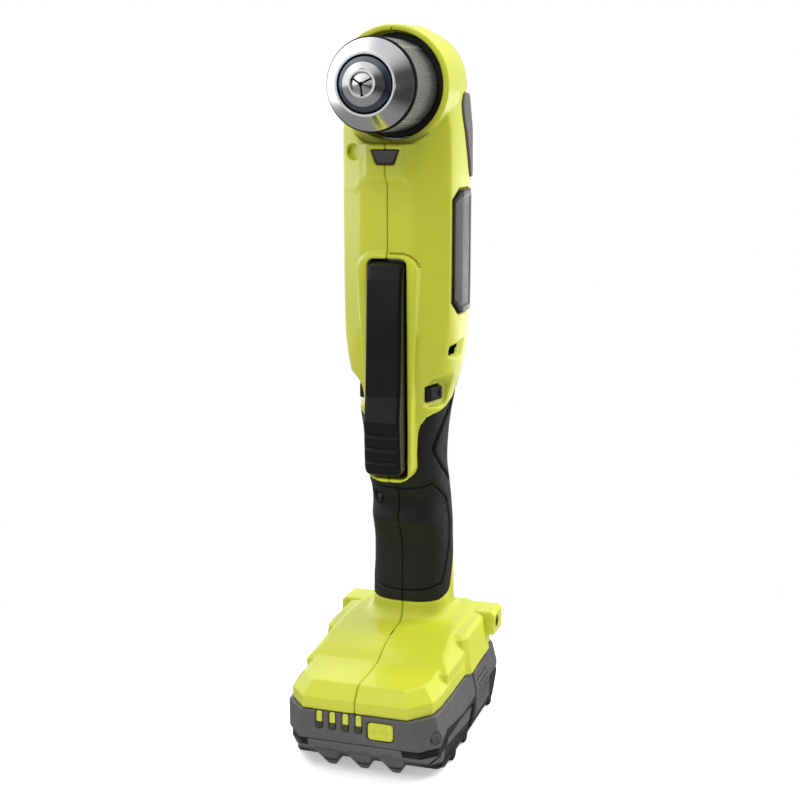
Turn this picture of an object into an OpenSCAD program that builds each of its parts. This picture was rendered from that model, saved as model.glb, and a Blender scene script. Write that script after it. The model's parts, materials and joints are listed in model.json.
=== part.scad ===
// Right angle drill with a keyless chuck and a stem battery pack, as an assembly.
// Millimetres. +Z is up, the chuck points along -Y, the seam of the housing is the plane x = 0.

/* [Housing] */
// Height of the chuck axis above the floor
head_z = 305.5; // [304:0.5:307]
// Width of the motor body
body_w = 55.2; // [54.8:0.2:57]
// Width of the handle
handle_w = 37; // [36.5:0.5:38]
// Wall of the moulded housing
wall = 2.4; // [2.2:0.1:2.6]
// Thickness of the rubber grip layer
grip_t = 2; // [1.6:0.1:2.2]
// Outside radius of the collar round the chuck
collar_r = 26.3; // [26:0.1:27]
// Radius of the recess that the chuck turns in
recess_r = 23.6; // [23:0.1:24]

/* [Trigger] */
// Width of the paddle trigger
paddle_w = 16; // [14:0.5:16.5]
// Height of the trigger pin above the floor
trigger_pin_z = 221.5; // [219:0.5:223]
// Half width of the raised rim round the trigger
rim_half_w = 12.8; // [12:0.1:14]

/* [Chuck] */
// Outside diameter of the chuck sleeve
sleeve_d = 40.4; // [40:0.2:41.4]
// Opening of the jaws as stored
jaw_opening = 2; // [1.8:0.1:2.4]
// Lean of the jaws to the chuck axis in degrees
jaw_lean = 15; // [14.5:0.5:15.5]
// Radius of the round jaw stock
jaw_r = 3.6; // [3.5:0.05:3.65]

/* [Gears] */
// Module of the planetary gears
planet_module = 0.8; // [0.78:0.01:0.81]
// Module of the bevel gears
bevel_module = 1.15; // [1.1:0.01:1.17]

/* [Battery] */
// Width of the battery pack
pack_w = 76; // [75:0.5:78]
// Length of the battery pack
pack_l = 116; // [114:0.5:118]
// Height of the face where pack and tool meet
pack_top_z = 32; // [31:0.5:33]
// Depth that a latch button is pressed
latch_travel = 2.5; // [2:0.1:3]

/* [Hidden] */
$fn = 40;
eps = 0.02;
big = 400;

// Depth positions along Y
motor_y = 22;
collar_y = -3.3;
led_face_y = -13;
panel_y = -9.4;
body_back_y = 57;
pack_front_y = -pack_l/2;

// Sections of the body and handle: height, front, widest, back, half width
body_half = body_w/2;
handle_half = handle_w/2;
stations = [
    [56, 12.7, 32, 51.5, handle_half + 0.5],
    [75, 12.7, 32, 50.8, handle_half + 0.2],
    [90, 12.4, 31.5, 50.2, handle_half],
    [98, 9, 31, 49.6, handle_half],
    [104, 5.6, 30, 49, handle_half - 0.2],
    [111, 8, 28.5, 47.2, handle_half - 0.3],
    [118, 6, 26.5, 44.6, handle_half - 0.4],
    [131, -2, 22, 41, handle_half - 0.5],
    [149, -4, 20, 43.5, handle_half + 0.7],
    [165, -5, 19, 49, handle_half + 3.3],
    [175, -6, 18.3, 52, body_half - 3],
    [186, -7, 17.8, 55, body_half - 1],
    [200, -8, 17.5, 56.4, body_half - 0.2],
    [250, -8.8, 17.5, body_back_y, body_half],
    [285, -8.8, 17.5, body_back_y, body_half - 0.2]
];
squareness = 2.6;
dome_start_z = 285;
dome_r = collar_r - 0.7;
dome_top_z = head_z + dome_r;
dome_fullness = 2.3;

// Heights of the sections that make the outer and the inner surface
ring_heights = concat(
    [for (z = [56, 66, 76, 86]) z],
    [for (z = [91:4.2:125]) z],
    [for (z = [130:10:200]) z],
    [for (z = [214:23:284]) z],
    [for (t = [0, 20, 38, 53, 66, 76, 83]) max(dome_start_z + 3, head_z + (dome_r - 0.05)*sin(t))]
);

// Screw positions through both halves: depth, height, and how far out the head seats
screw_spots = [[-3, 276], [49, 294], [52, 256], [48, 187], [37.5, 163], [11.5, 113.5], [-24, 37],
    [49.5, 36.4]];
screw_seat_x = -9;
screw_head_r = 2.8;
screw_head_h = 2.2;
screw_r = 1.45;
screw_tip_x = 11;
screw_pocket_r = 3.5;
boss_r = 4.4;
boss_inner_r = 3;

// Accessory blocks behind the side wings
block_outer_x = 40;
block_y = 42.4;
block_z = 45.5;
insert_r = 2.8;
insert_bore_r = 1.65;
insert_l = 9;

// Chuck, measured forward along its axis from y = 0
sleeve_r = sleeve_d/2;
sleeve_back_f = -1;
sleeve_front_f = 31;
nose_front_f = 39.2;
tip_f = 43.2;
chuck_body_r = 11.8;
chuck_bore_r = 5.4;
socket_r = 6.3;
socket_f = 12;
chuck_back_f = -2.6;
jaw_tip_r = 2.6;
jaw_length = 30;
jaw_gap = 0.4;
jaw_nose_f = 44.6;
jaw_nose_slope = 0.45;
jaw_bore_r = jaw_r + 0.06;

// Gears
bevel_teeth = 30;
pinion_teeth = 12;
bevel_face = 6.5;
sun_teeth = 12;
planet_teeth = 15;
ring_teeth = sun_teeth + 2*planet_teeth;
planet_orbit_r = planet_module*(sun_teeth + planet_teeth)/2;
planet_z0 = 249;
planet_z1 = 258;

// Motor
stator_r = 22;
stator_bore_r = 11.8;
stator_z0 = 206;
stator_z1 = 234;
rotor_r = 11.3;
shaft_r = 2.5;
running = 0.03;

// Trigger
trigger_pin_y = -3.5;
trigger_pin_r = 1.5;
plunger_z = 147;
plunger_r = 3;

// Forward and reverse selector
selector_y0 = 1.5;
selector_y1 = 11;
selector_z0 = 163.2;
selector_z1 = 169.6;
selector_gap = 0.4;

// Battery
pack_half = pack_w/2;
pack_split_z = 18;
pack_floor_z = 2.4;
pack_wall = 2.2;
cell_r = 9.1;
cell_l = 65;
stem_top_z = 117;
stem_cell_y = 28.2;
stem_cell_z = 42;
window_x = [-16.5, -10.3, -4.1, 2.1];
window_w = 3;
window_z0 = 23.5;
button_x0 = 6.3;
button_x1 = 18.3;
button_z0 = 21.2;
button_z1 = 29.4;
latch_y0 = 10;
latch_y1 = 34;
latch_z0 = 7;
latch_z1 = 30;
latch_depth = 6;

// Colours
lime = [0.72, 0.80, 0.05];
rubber_grey = [0.30, 0.30, 0.31];
dark = [0.12, 0.12, 0.12];
mid_grey = [0.36, 0.36, 0.37];
steel = [0.70, 0.71, 0.73];
bright = [0.85, 0.86, 0.88];
alloy = [0.62, 0.63, 0.64];
brass_tone = [0.80, 0.64, 0.28];
copper = [0.72, 0.42, 0.20];
board_green = [0.10, 0.32, 0.18];

// Smooth value of one station column at a height
function slope(t, c, i) =
    let(a = max(i - 1, 0), b = min(i + 1, len(t) - 1))
    (t[b][c] - t[a][c])/(t[b][0] - t[a][0]);
function segment(t, z, i = 0) = (i >= len(t) - 2 || z <= t[i + 1][0]) ? i : segment(t, z, i + 1);
function station(z, c) =
    let(i = segment(stations, z), a = stations[i], b = stations[i + 1], h = b[0] - a[0], s = (z - a[0])/h)
    a[c]*(1 + 2*s)*(1 - s)*(1 - s) + h*slope(stations, c, i)*s*(1 - s)*(1 - s)
    + b[c]*s*s*(3 - 2*s) + h*slope(stations, c, i + 1)*s*s*(s - 1);

// The dome of the head above the last station
function dome_back(z, inset) =
    let(w = 17.5, t = min(1, max(0, (z - dome_start_z)/(dome_top_z - inset - dome_start_z))))
    w + (body_back_y - inset - w)*pow(max(0.0004, 1 - pow(t, dome_fullness)), 1/dome_fullness);
function dome_half(z, inset) =
    let(r = dome_r - inset, rise = min(r - 0.02, max(0, z - head_z))/r)
    let(blend = min(1, max(0, (z - dome_start_z)/20)))
    r*pow(1 - pow(rise, dome_fullness), 1/dome_fullness) + (body_half - 0.2 - dome_r)*(1 - blend);

function front_at(z, inset) = (z > dome_start_z ? -8.8 : station(z, 1)) + inset;
function widest_at(z) = z > dome_start_z ? 17.5 : station(z, 2);
function back_at(z, inset) = z > dome_start_z ? dome_back(z, inset) : station(z, 3) - inset;
function half_at(z, inset) = z > dome_start_z ? dome_half(z, inset) : station(z, 4) - inset;

// One closed section of the body at a height, drawn in by an inset
function signed_pow(v, p) = sign(v)*pow(abs(v), p);
function section(z, inset, n) =
    let(w = widest_at(z), a = half_at(z, inset), f = front_at(z, inset), b = back_at(z, inset))
    [for (k = [0:n - 1]) let(t = 360*(k + 0.5)/n, s = signed_pow(sin(t), 2/squareness))
        [a*signed_pow(cos(t), 2/squareness), w + (s > 0 ? b - w : w - f)*s, z]];

// A closed solid through sections with equal numbers of points, listed from the bottom up
module loft(rings) {
    n = len(rings[0]);
    m = len(rings);
    points = [for (r = rings) for (p = r) p];
    sides = [for (j = [0:m - 2]) for (k = [0:n - 1])
        let(a = j*n + k, b = j*n + (k + 1)%n) [a, a + n, b + n, b]];
    bottom = [for (k = [0:n - 1]) k];
    top = [for (k = [n - 1:-1:0]) (m - 1)*n + k];
    polyhedron(points, concat([bottom], sides, [top]), convexity = 6);
}

// Bars along the three axes
module rod_x(r, x0, x1, y, z) translate([x0, y, z]) rotate([0, 90, 0]) cylinder(r = r, h = x1 - x0);
module rod_y(r, y0, y1, x, z) translate([x, y0, z]) rotate([-90, 0, 0]) cylinder(r = r, h = y1 - y0);
module rod_z(r, z0, z1, x, y) translate([x, y, z0]) cylinder(r = r, h = z1 - z0);
module block(x0, x1, y0, y1, z0, z1) translate([x0, y0, z0]) cube([x1 - x0, y1 - y0, z1 - z0]);

// An outline in depth and height carried across the width, one in width and height carried through the depth,
// and one in plan carried up
module side_slab(outline, x0, x1)
    translate([x0, 0, 0]) rotate([90, 0, 90]) linear_extrude(x1 - x0) polygon(outline);
module front_slab(outline, y0, y1)
    translate([0, y1, 0]) rotate([90, 0, 0]) linear_extrude(y1 - y0) polygon(outline);
module plan_slab(outline, z0, z1) translate([0, 0, z0]) linear_extrude(z1 - z0) polygon(outline);

// A half outline in plan, given from front to back on the +X side, completed on the other side
function both_sides(half) = concat(half, [for (i = [len(half) - 1:-1:0]) [-half[i][0], half[i][1]]]);

// Moves a turned piece from its own axis to the chuck axis, forward along -Y
module on_chuck_axis() translate([0, 0, head_z]) rotate([90, 0, 0]) children();

// Outer form of the body, handle and head before the hollow, or the part of it between two heights
module body_form(inset = 0, n = 36, z0 = 0, z1 = big) {
    top_z = min(z1, inset == 0 ? big : dome_top_z - inset - 1.5);
    loft([for (z = ring_heights) if (z >= z0 && z < top_z) section(z, inset, n)]);
}

// Inner space of body and handle: the wall is thicker where the rubber lies in it
function inner_inset(z) = wall + (grip_t - 0.2)*min(1, max(0, (186 - z)/18));
module body_hollow() {
    heights = [for (z = ring_heights) if (z > 57 && z < dome_top_z - wall - 1.5) z];
    loft(concat([section(56.5, inner_inset(56), 24)], [for (z = heights) section(z, inner_inset(z), 24)]));
}

// Raised rim round the trigger, with its front leaning to the head
module rim_form() {
    z0 = 126.5;
    z1 = 232;
    corner = 7;
    intersection() {
        translate([0, 14, (z0 + z1)/2]) rotate([90, 0, 0]) linear_extrude(30) {
            square([2*rim_half_w - 2*corner, z1 - z0], center = true);
            square([2*rim_half_w, z1 - z0 - 2*corner], center = true);
            for (sx = [-1, 1], sz = [-1, 1])
                translate([sx*(rim_half_w - corner), sz*((z1 - z0)/2 - corner)]) circle(corner, $fn = 20);
        }
        side_slab([[-11.2, z1], [-8.8, z0 + 3], [-6.5, z0], [12, z0], [12, z1]], -big, big);
    }
}

// Flat panel above the rim
module panel_form() {
    hull() {
        block(-12.5, 12.5, panel_y + 2.5, 4, 226, 276);
        block(-10.5, 10.5, panel_y, 4, 226, 276);
    }
}

// Block under the chuck that carries the work light, flaring back to the facets
led_top_z = 280.3;
led_face = both_sides([[8, led_top_z], [8, 267.5], [6.5, 266]]);
led_root = both_sides([[13.8, led_top_z], [13.8, 262], [10, 257.5]]);
led_root_y = -7.2;
module led_block_form() {
    hull() {
        front_slab(led_face, led_face_y, led_face_y + 1);
        front_slab(led_root, led_root_y, 2);
    }
}

// Flat facet between the front and each side of the motor body. It runs out where the body narrows
facet_near = [13.4, -7.6];
facet_far = [25.4, 3.7];
facet_run = facet_far - facet_near;
facet_low_z = 166;
facet_top_z = 340;
facet_plan = let(a = facet_near - facet_run/4, b = facet_far + facet_run/4)
    [a, b, [60, b[1]], [60, -40], [a[0], -40]];
module facet_cut() for (side = [-1, 1]) plan_slab(on_side(facet_plan, side), facet_low_z, facet_top_z);

// Foot: a low front deck, a raised rear deck, side wings and accessory blocks
deck_low = both_sides([[24.5, -57], [33.4, -47], [34.7, -38], [34.8, 48], [29, 57]]);
deck_low_top = both_sides([[21, -51], [28, -43.5], [29.5, -36], [29.5, 46], [26, 52]]);
deck_rear = both_sides([[34.4, -27], [34.8, 48], [29, 57]]);
deck_rear_top = both_sides([[24.5, -10], [28, -5], [28, 46], [22, 52]]);
wing_foot = [[30, -1], [35, 0.5], [37.6, 4], [37, 39], [30, 44]];
wing_shoulder = [[29, -2], [33.5, 1], [35.1, 5], [35.1, 34.5], [30, 40]];
wing_bevel = [[26, 2], [31, 3], [33.4, 5.5], [32.8, 33.5], [26, 36]];
wing_top = [[24, 6], [29, 7], [29, 33], [24, 35]];
function on_side(outline, side) = [for (p = outline) [side*p[0], p[1]]];
wing_levels = [[1, wing_foot], [16, wing_shoulder], [18, wing_bevel], [20, wing_top]];
block_back_y = block_y + 10;
block_front_y = block_y - 6;
block_plan = [[20, block_front_y], [block_outer_x, block_front_y], [block_outer_x, block_back_y],
    [20, block_back_y]];
block_chamfer = 1.7;
block_low_z = 39.6;
block_top_z = 51.5;
module accessory_block(side) {
    top_plan = [for (p = block_plan) [min(p[0], block_outer_x - block_chamfer), p[1]]];
    hull() {
        plan_slab(on_side(block_plan, side), block_low_z, block_top_z - block_chamfer);
        plan_slab(on_side(top_plan, side), block_low_z, block_top_z);
    }
}
module foot_form() {
    z0 = pack_top_z;
    hull() {
        plan_slab(deck_low, z0, z0 + 5.6);
        plan_slab(deck_low_top, z0, z0 + 11.8);
    }
    hull() {
        plan_slab(deck_rear, z0, z0 + 11);
        plan_slab(deck_rear_top, z0, z0 + 21.2);
    }
    hull() {
        plan_slab(both_sides([[13, 6.5], [22, 16], [22, 46], [13, 54.5]]), z0 + 19, z0 + 21.6);
        plan_slab(both_sides([[6, 15], [16, 26], [16, 40], [6, 48]]), z0 + 19, z0 + 29);
    }
    for (side = [-1, 1]) {
        hull() for (level = wing_levels) plan_slab(on_side(level[1], side), z0, z0 + level[0]);
        accessory_block(side);
    }
}
module foot_hollow() {
    z0 = pack_top_z;
    hull() {
        plan_slab(both_sides([[21, -53], [31, -43], [32, -36], [32, 44], [26, 53]]), z0 - 1, z0 + 5);
        plan_slab(both_sides([[18, -47], [26, -38], [26, 32], [22, 48]]), z0 - 1, z0 + 9.2);
    }
    hull() {
        plan_slab(both_sides([[26, -12], [26, 32], [22, 48]]), z0 - 1, z0 + 9.2);
        plan_slab(both_sides([[20, -4], [22, 6], [22, 32], [18, 47]]), z0 - 1, z0 + 18.6);
    }
    plan_slab(both_sides([[8.2, 17.4], [14, 23.5], [14, 36.5], [9.6, 42.5]]), z0 - 1, 66);
}

// Plates across the hollow that carry the motor and the gear case, and short ones for the switch and contacts
module ribs() {
    for (rib_z = [212, 228])
        difference() {
            block(-40, 40, -20, 70, rib_z, rib_z + 2);
            rod_z(stator_r + 0.4, rib_z - 1, rib_z + 3, 0, motor_y);
            block(-14, 14, -20, motor_y, rib_z - 1, rib_z + 3);
            block(-board_half, board_half, 44, 56, rib_z - 1, rib_z + 3);
        }
    difference() {
        block(-40, 40, -20, 70, 268, 270);
        rod_z(21.4, 267, 271, 0, motor_y);
        block(-14, 14, -20, motor_y, 267, 271);
    }
    for (side = [-1, 1]) {
        side_plate(side, terminal_half, 20, 29, 122);
        side_plate(side, switch_half, 12, 26, 141);
        side_plate(side, switch_half, 12, 26, 152);
    }
}
module side_plate(side, x, y0, y1, z) block(side > 0 ? x : -40, side > 0 ? 40 : -x, y0, y1, z, z + 2);

// Outline of the rubber on the handle, in depth and height
grip_outline = [[-2, 125], [-0.4, 148.5], [2.2, 156], [12.7, 158.2], [18.6, 159.8], [25.2, 163], [24.6, 172],
    [34, 183], [48, 194], [70, 199], [70, 90], [44, 86], [37.6, 76.4], [34, 70.6], [30.8, 64.8], [25, 62.3],
    [20, 61.3], [-20, 61.3], [-20, 125]];
module grip_layer(proud = 0) {
    intersection() {
        difference() {
            body_form(inset = -proud);
            body_form(inset = grip_t);
        }
        side_slab(grip_outline, -big, big);
    }
}

// Housing before it is split: form, less hollow, recess, windows and pockets
module housing_form() {
    difference() {
        union() {
            difference() {
                union() {
                    difference() {
                        body_form();
                        grip_layer(proud = 1);
                        facet_cut();
                    }
                    panel_form();
                }
                rod_y(collar_r + 0.7, -40, collar_y, 0, head_z, $fn = 48);
            }
            rim_form();
            led_block_form();
            rod_y(collar_r, collar_y, 9, 0, head_z, $fn = 48);
            foot_form();
        }
        difference() {
            union() {
                body_hollow();
                rod_y(22.9, 2.5, 27, 0, head_z, $fn = 36);
                foot_hollow();
            }
            ribs();
            bosses();
        }
        rod_y(recess_r, -10, 3.02, 0, head_z, $fn = 48);
        trigger_slot();
        selector_slot();
        led_pocket();
        vents();
        screw_holes();
        for (side = [-1, 1]) badge_plate(side);
        bumper_band();
        for (side = [-1, 1])
            rod_x(insert_r + 0.05, min(side*20, side*big), max(side*20, side*big), block_y, block_z);
    }
}
module bosses() {
    for (s = screw_spots) {
        rod_x(boss_r, -60, screw_seat_x + 3, s[0], s[1], $fn = 8);
        rod_x(boss_inner_r, -10, 60, s[0], s[1], $fn = 8);
    }
    pin_boss_x = paddle_w/2 + 1.2;
    for (side = [-1, 1])
        rod_x(3.2, side > 0 ? pin_boss_x : -60, side > 0 ? 60 : -pin_boss_x,
            trigger_pin_y, trigger_pin_z, $fn = 8);
}
module screw_holes() {
    for (s = screw_spots) {
        rod_x(screw_pocket_r, -60, screw_seat_x, s[0], s[1], $fn = 16);
        rod_x(screw_r + 0.3, screw_seat_x - 1, screw_tip_x + 1, s[0], s[1], $fn = 12);
    }
    rod_x(trigger_pin_r + 0.15, -12.5, 12.5, trigger_pin_y, trigger_pin_z, $fn = 16);
}
module trigger_slot() {
    half = paddle_w/2 + 0.6;
    block(-half, half, -30, 5.5, 128, 229.6);
}
module selector_slot() {
    g = selector_gap;
    block(-60, 60, selector_y0 - g, selector_y1 + g, selector_z0 - g, selector_z1 + g);
    for (side = [-1, 1])
        hull() {
            translate([side*(handle_half + 2.2), 0, 0])
                side_slab([[-2, 160.5], [2, 172.5], [20, 172.5], [22, 161.5]], -0.1, 0.1);
            translate([side*(handle_half + 9), 0, 0])
                side_slab([[-8, 157.5], [-6, 176], [24, 176], [27, 158]], -0.1, 0.1);
        }
}
module led_pocket() {
    front_slab([[-6.8, 278], [6.8, 278], [4.2, 271.2], [-4.2, 271.2]], -20, -10.5);
    block(-9, 9, -11, -7.7, 269.5, 279);
}
module vents() {
    for (side = [-1, 1])
        hull() {
            block(min(side*20, side*27), max(side*20, side*27), 8, 15, 184.6, 188);
            translate([side*29, 0, 0]) side_slab([[6, 179.5], [5, 189.5], [27, 191], [25, 180]], -0.1, 0.1);
        }
}

module half_space(side) block(side > 0 ? 0 : -big, side > 0 ? big : 0, -big, big, -big, big);
module housing_left() color(lime) intersection() {
    housing_form();
    half_space(-1);
}
module housing_right() color(lime) intersection() {
    housing_form();
    half_space(1);
}
module grip_left() color(rubber_grey) intersection() {
    rubber_form();
    half_space(-1);
}
module grip_right() color(rubber_grey) intersection() {
    rubber_form();
    half_space(1);
}
module rubber_form() {
    difference() {
        grip_layer();
        rim_form();
        foot_form();
        trigger_slot();
        selector_slot();
        screw_holes();
    }
}

// Band of rubber round the back of the head, standing a little proud
bumper_outline = [[26, 303], [19, 298], [18.5, 294], [22, 282], [29.5, 265.5], [32, 264], [90, 264],
    [90, 303]];
bumper_proud = 1;
module bumper_band() {
    intersection() {
        difference() {
            body_form(inset = -bumper_proud, z0 = 255, z1 = 315);
            body_form(inset = 0.8, z0 = 255, z1 = 315);
        }
        side_slab(bumper_outline, -big, big);
    }
}
module head_bumper() color(rubber_grey) difference() {
    bumper_band();
    screw_holes();
}

// Bare plates on both sides of the body
badge_outline = [[5, 209], [11.5, 203.2], [27, 203.2], [29, 206], [29, 257], [27, 259.8], [11.5, 259.8],
    [5, 255]];
badge_proud = 1.4;
module badge_plate(side) {
    intersection() {
        difference() {
            body_form(inset = -badge_proud, z0 = 195, z1 = 270);
            body_form(inset = 0.8, z0 = 195, z1 = 270);
        }
        side_slab(badge_outline, -big, big);
        half_space(side);
    }
}
module badge_left() color(dark) badge_plate(-1);
module badge_right() color(dark) badge_plate(1);

// Work light under the chuck
module led_lens() color(dark)
    front_slab([[-6.6, 277.85], [6.6, 277.85], [4.1, 271.35], [-4.1, 271.35]], led_face_y + 0.2, -10.7);
module led_board() color(board_green) {
    block(-8, 8, -9.6, -8.2, 270, 278.4);
    block(-1.8, 1.8, -10.5, -9.6, 272.8, 276.4);
}

// Screws that join the two housing halves, all alike
module housing_screws() color(steel) for (s = screw_spots) difference() {
    union() {
        rod_x(screw_head_r, screw_seat_x - screw_head_h, screw_seat_x, s[0], s[1]);
        rod_x(screw_r, screw_seat_x - eps, screw_tip_x, s[0], s[1]);
    }
    rod_x(1.3, screw_seat_x - screw_head_h - 1, screw_seat_x - 1, s[0], s[1], $fn = 6);
}

// Threaded inserts in the accessory blocks
module clip_inserts() color(brass_tone) for (side = [-1, 1]) difference() {
    rod_x(insert_r, side > 0 ? block_outer_x - insert_l : -block_outer_x,
        side > 0 ? block_outer_x : insert_l - block_outer_x, block_y, block_z);
    rod_x(insert_bore_r, -big, big, block_y, block_z);
}

// Gear case: a cross tube for the spindle on an upright tube for the pinion
cover_back_y = 13.5;
module gear_case() color(alloy) difference() {
    union() {
        rod_y(22.4, cover_back_y, 22, 0, head_z);
        rod_y(19.8, 22 - eps, 31.6, 0, head_z);
        rod_y(16.5, 31.6 - eps, 36, 0, head_z);
        rod_y(12.4, 36 - eps, 43.9, 0, head_z);
        difference() {
            rod_z(21, 262, head_z - 8, 0, motor_y);
            block(-30, 30, -5, cover_back_y, 282.6, head_z);
        }
    }
    rod_y(18.4, cover_back_y - 0.1, 31, 0, head_z);
    rod_y(12, 30, 34.6, 0, head_z);
    rod_y(11, 36.5, 43.5, 0, head_z);
    rod_y(7, 34, 37, 0, head_z);
    rod_z(9.6, 273, head_z, 0, motor_y);
    rod_z(13, 266, 274, 0, motor_y);
    rod_z(16.4, 261, 266, 0, motor_y);
}
module gear_case_cover() color(alloy) difference() {
    rod_y(22.4, 3.4, cover_back_y, 0, head_z);
    rod_y(14, 4.4, 12.4, 0, head_z);
    rod_y(12.4, 3, 14, 0, head_z);
}

// A ball bearing with two rings and closed shields, standing on its own axis
module bearing(bore_r, outer_r, h) {
    ring = (outer_r - bore_r)*0.28;
    difference() {
        cylinder(r = outer_r, h = h);
        translate([0, 0, -1]) cylinder(r = bore_r, h = h + 2);
        for (z = [-1, h - 0.6]) translate([0, 0, z]) difference() {
            cylinder(r = outer_r - ring, h = 1.6);
            translate([0, 0, -1]) cylinder(r = bore_r + ring, h = 4);
        }
    }
}
module spindle_front_bearing() color(steel)
    translate([0, 4.4, head_z]) rotate([-90, 0, 0]) bearing(6 + running, 14, 8);
module spindle_rear_bearing() color(steel)
    translate([0, 36.5, head_z]) rotate([-90, 0, 0]) bearing(4 + running, 11, 7);
module pinion_bearing() color(steel) translate([0, motor_y, 266]) bearing(5 + running, 13, 8);
motor_bearing_z = [190.4, 241.6];
module motor_bearings() color(steel) for (z = motor_bearing_z)
    translate([0, motor_y, z]) bearing(shaft_r + running, 8, 5);

// Gear teeth: points of one flank on an involute, from the root to the tip, and its mirror image
function involute_angle(r, base) = r <= base ? 0 : let(t = sqrt(r*r/(base*base) - 1)) t*180/PI - atan(t);
tooth_share = 0.43;
pressure = 20;
function tooth_half(r, z, m) = let(p = m*z/2, b = p*cos(pressure))
    180*tooth_share/z + involute_angle(p, b) - involute_angle(r, b);
function tooth_radii(z, m, add, ded) = let(p = m*z/2) [p - ded*m, p - ded*m/3, p + add*m/2, p + add*m];
function gear_points(z, m, add, ded) = let(radii = tooth_radii(z, m, add, ded))
    [for (k = [0:z - 1]) let(c = 360*k/z) each concat(
        [for (r = radii) let(a = c - tooth_half(r, z, m)) [r*cos(a), r*sin(a)]],
        [for (i = [3:-1:0]) let(a = c + tooth_half(radii[i], z, m)) [radii[i]*cos(a), radii[i]*sin(a)]])];
module spur_gear(z, m, h) linear_extrude(h) polygon(gear_points(z, m, 0.9, 1.2));

// Ring gear: teeth inside, half a pitch round from the planets' gaps, and a plain bore for the carrier
function ring_points() =
    let(m = planet_module, p = m*ring_teeth/2, w = 180*0.40/ring_teeth, t = tan(pressure)*180/PI)
    [for (k = [0:ring_teeth - 1]) let(c = 360*(k + 0.5)/ring_teeth)
        each [for (q = [[1.2*m, -1], [0, -1], [-0.8*m, -1], [-0.8*m, 1], [0, 1], [1.2*m, 1]])
            let(r = p + q[0], a = c + q[1]*(w + q[0]*t/p)) [r*cos(a), r*sin(a)]]];
module ring_gear() color(steel) translate([0, motor_y, 0]) difference() {
    rod_z(20.6, 247, 262, 0, 0);
    translate([0, 0, 246]) linear_extrude(13) polygon(ring_points());
    rod_z(18.2, 258.5, 263, 0, 0);
}

// Plates that close the motor at both ends and hold its bearings
module motor_bracket() color(alloy) difference() {
    union() {
        rod_z(23.4, 243, 247, 0, motor_y);
        rod_z(10.5, 240.6, 243 + eps, 0, motor_y);
    }
    rod_z(8, 241.6, 248, 0, motor_y);
    rod_z(6, 240, 242, 0, motor_y);
    for (k = [0:5]) rod_z(2.6, 242, 248, 16*cos(60*k), motor_y + 16*sin(60*k));
}
module motor_end_plate() color(dark) difference() {
    union() {
        rod_z(22, 187.4, 190.4, 0, motor_y);
        rod_z(10.5, 190.4 - eps, 195.4, 0, motor_y);
    }
    rod_z(8, 190.4, 196, 0, motor_y);
    rod_z(4, 187, 191, 0, motor_y);
    for (k = [0:5]) rod_z(3, 187, 191, 16*cos(60*k), motor_y + 16*sin(60*k));
}

// Stator: yoke and six poles, with a coil on each pole
pole_w = 6.4;
coil_w = 10;
module poles(w, r0, r1, z0, z1) for (k = [0:5])
    translate([0, motor_y, 0]) rotate([0, 0, 60*k]) block(r0, r1, -w/2, w/2, z0, z1);
module stator_core() color(steel) difference() {
    union() {
        difference() {
            rod_z(stator_r, stator_z0, stator_z1, 0, motor_y);
            rod_z(18.6, stator_z0 - 1, stator_z1 + 1, 0, motor_y);
        }
        poles(pole_w, 10, 19.2, stator_z0, stator_z1);
    }
    rod_z(stator_bore_r, stator_z0 - 1, stator_z1 + 1, 0, motor_y);
}
module stator_windings() color(copper) difference() {
    poles(coil_w, 13.2, 17.6, stator_z0 - 2.6, stator_z1 + 2.6);
    poles(pole_w, 12, 19, stator_z0, stator_z1);
}

// Speed control board behind the motor
board_half = 15;
board_y = 46;
module controller_board() color(board_green) {
    block(-board_half, board_half, board_y, board_y + 1.6, 196, 244);
    for (i = [0:2]) block(-13 + 9.2*i, -6 + 9.2*i, board_y + 1.6, board_y + 4, 216, 226);
    block(-8, 8, board_y + 1.6, board_y + 4, 200, 210);
}

// Switch, with a bore that guides its plunger
switch_half = 9.5;
module switch_body() color(dark) difference() {
    union() {
        block(-switch_half, switch_half, 8, 30, 135.5, 158.5);
        rod_y(5, 6, 8 + eps, 0, plunger_z);
    }
    rod_y(plunger_r + 0.05, 5, 22, 0, plunger_z);
}
module switch_plunger() color(mid_grey) rod_y(plunger_r, -6.9, 13, 0, plunger_z);

// Contacts above the battery stem
blade_x = [-8, -3, 3, 8];
blade_y0 = 22;
blade_y1 = 30;
terminal_half = 11.5;
module blades(z0) for (x = blade_x) block(x - 0.4, x + 0.4, blade_y0, blade_y1, z0, 125);
module terminal_block() color(dark) difference() {
    block(-terminal_half, terminal_half, 18, 31, 119.5, 127);
    blades(119);
}
module terminal_blades() color(brass_tone) blades(110.5);

// Trigger pin in the housing, and the paddle that swings on it
module trigger_pin() color(steel) rod_x(trigger_pin_r, -12, 12, trigger_pin_y, trigger_pin_z);
paddle_outline = [[-10.4, 229], [-14, 227], [-15.6, 221], [-16.6, 202], [-17.2, 187], [-18.2, 168],
    [-19.2, 158], [-19, 151], [-18.2, 149.6], [-18.8, 148.4], [-18.7, 144.6], [-17.9, 143.2], [-18.6, 142],
    [-18.5, 137.6],
    [-17.7, 136.2], [-18.3, 135], [-17.6, 130.6], [-15.4, 128.8], [-8.5, 129.2], [-7.4, 150], [-6.4, 190],
    [-5.4, 213], [-0.8, 218], [-0.4, 223.5], [-2, 227]];
module trigger_paddle() color(dark) difference() {
    intersection() {
        side_slab(paddle_outline, -paddle_w/2, paddle_w/2);
        front_slab([[-paddle_w/2, 133], [-paddle_w/2 + 3, 128], [paddle_w/2 - 3, 128], [paddle_w/2, 133],
            [paddle_w/2, 225], [paddle_w/2 - 3, 230], [-paddle_w/2 + 3, 230], [-paddle_w/2, 225]], -30, 10);
    }
    rod_x(trigger_pin_r + running, -20, 20, trigger_pin_y, trigger_pin_z);
}

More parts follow.
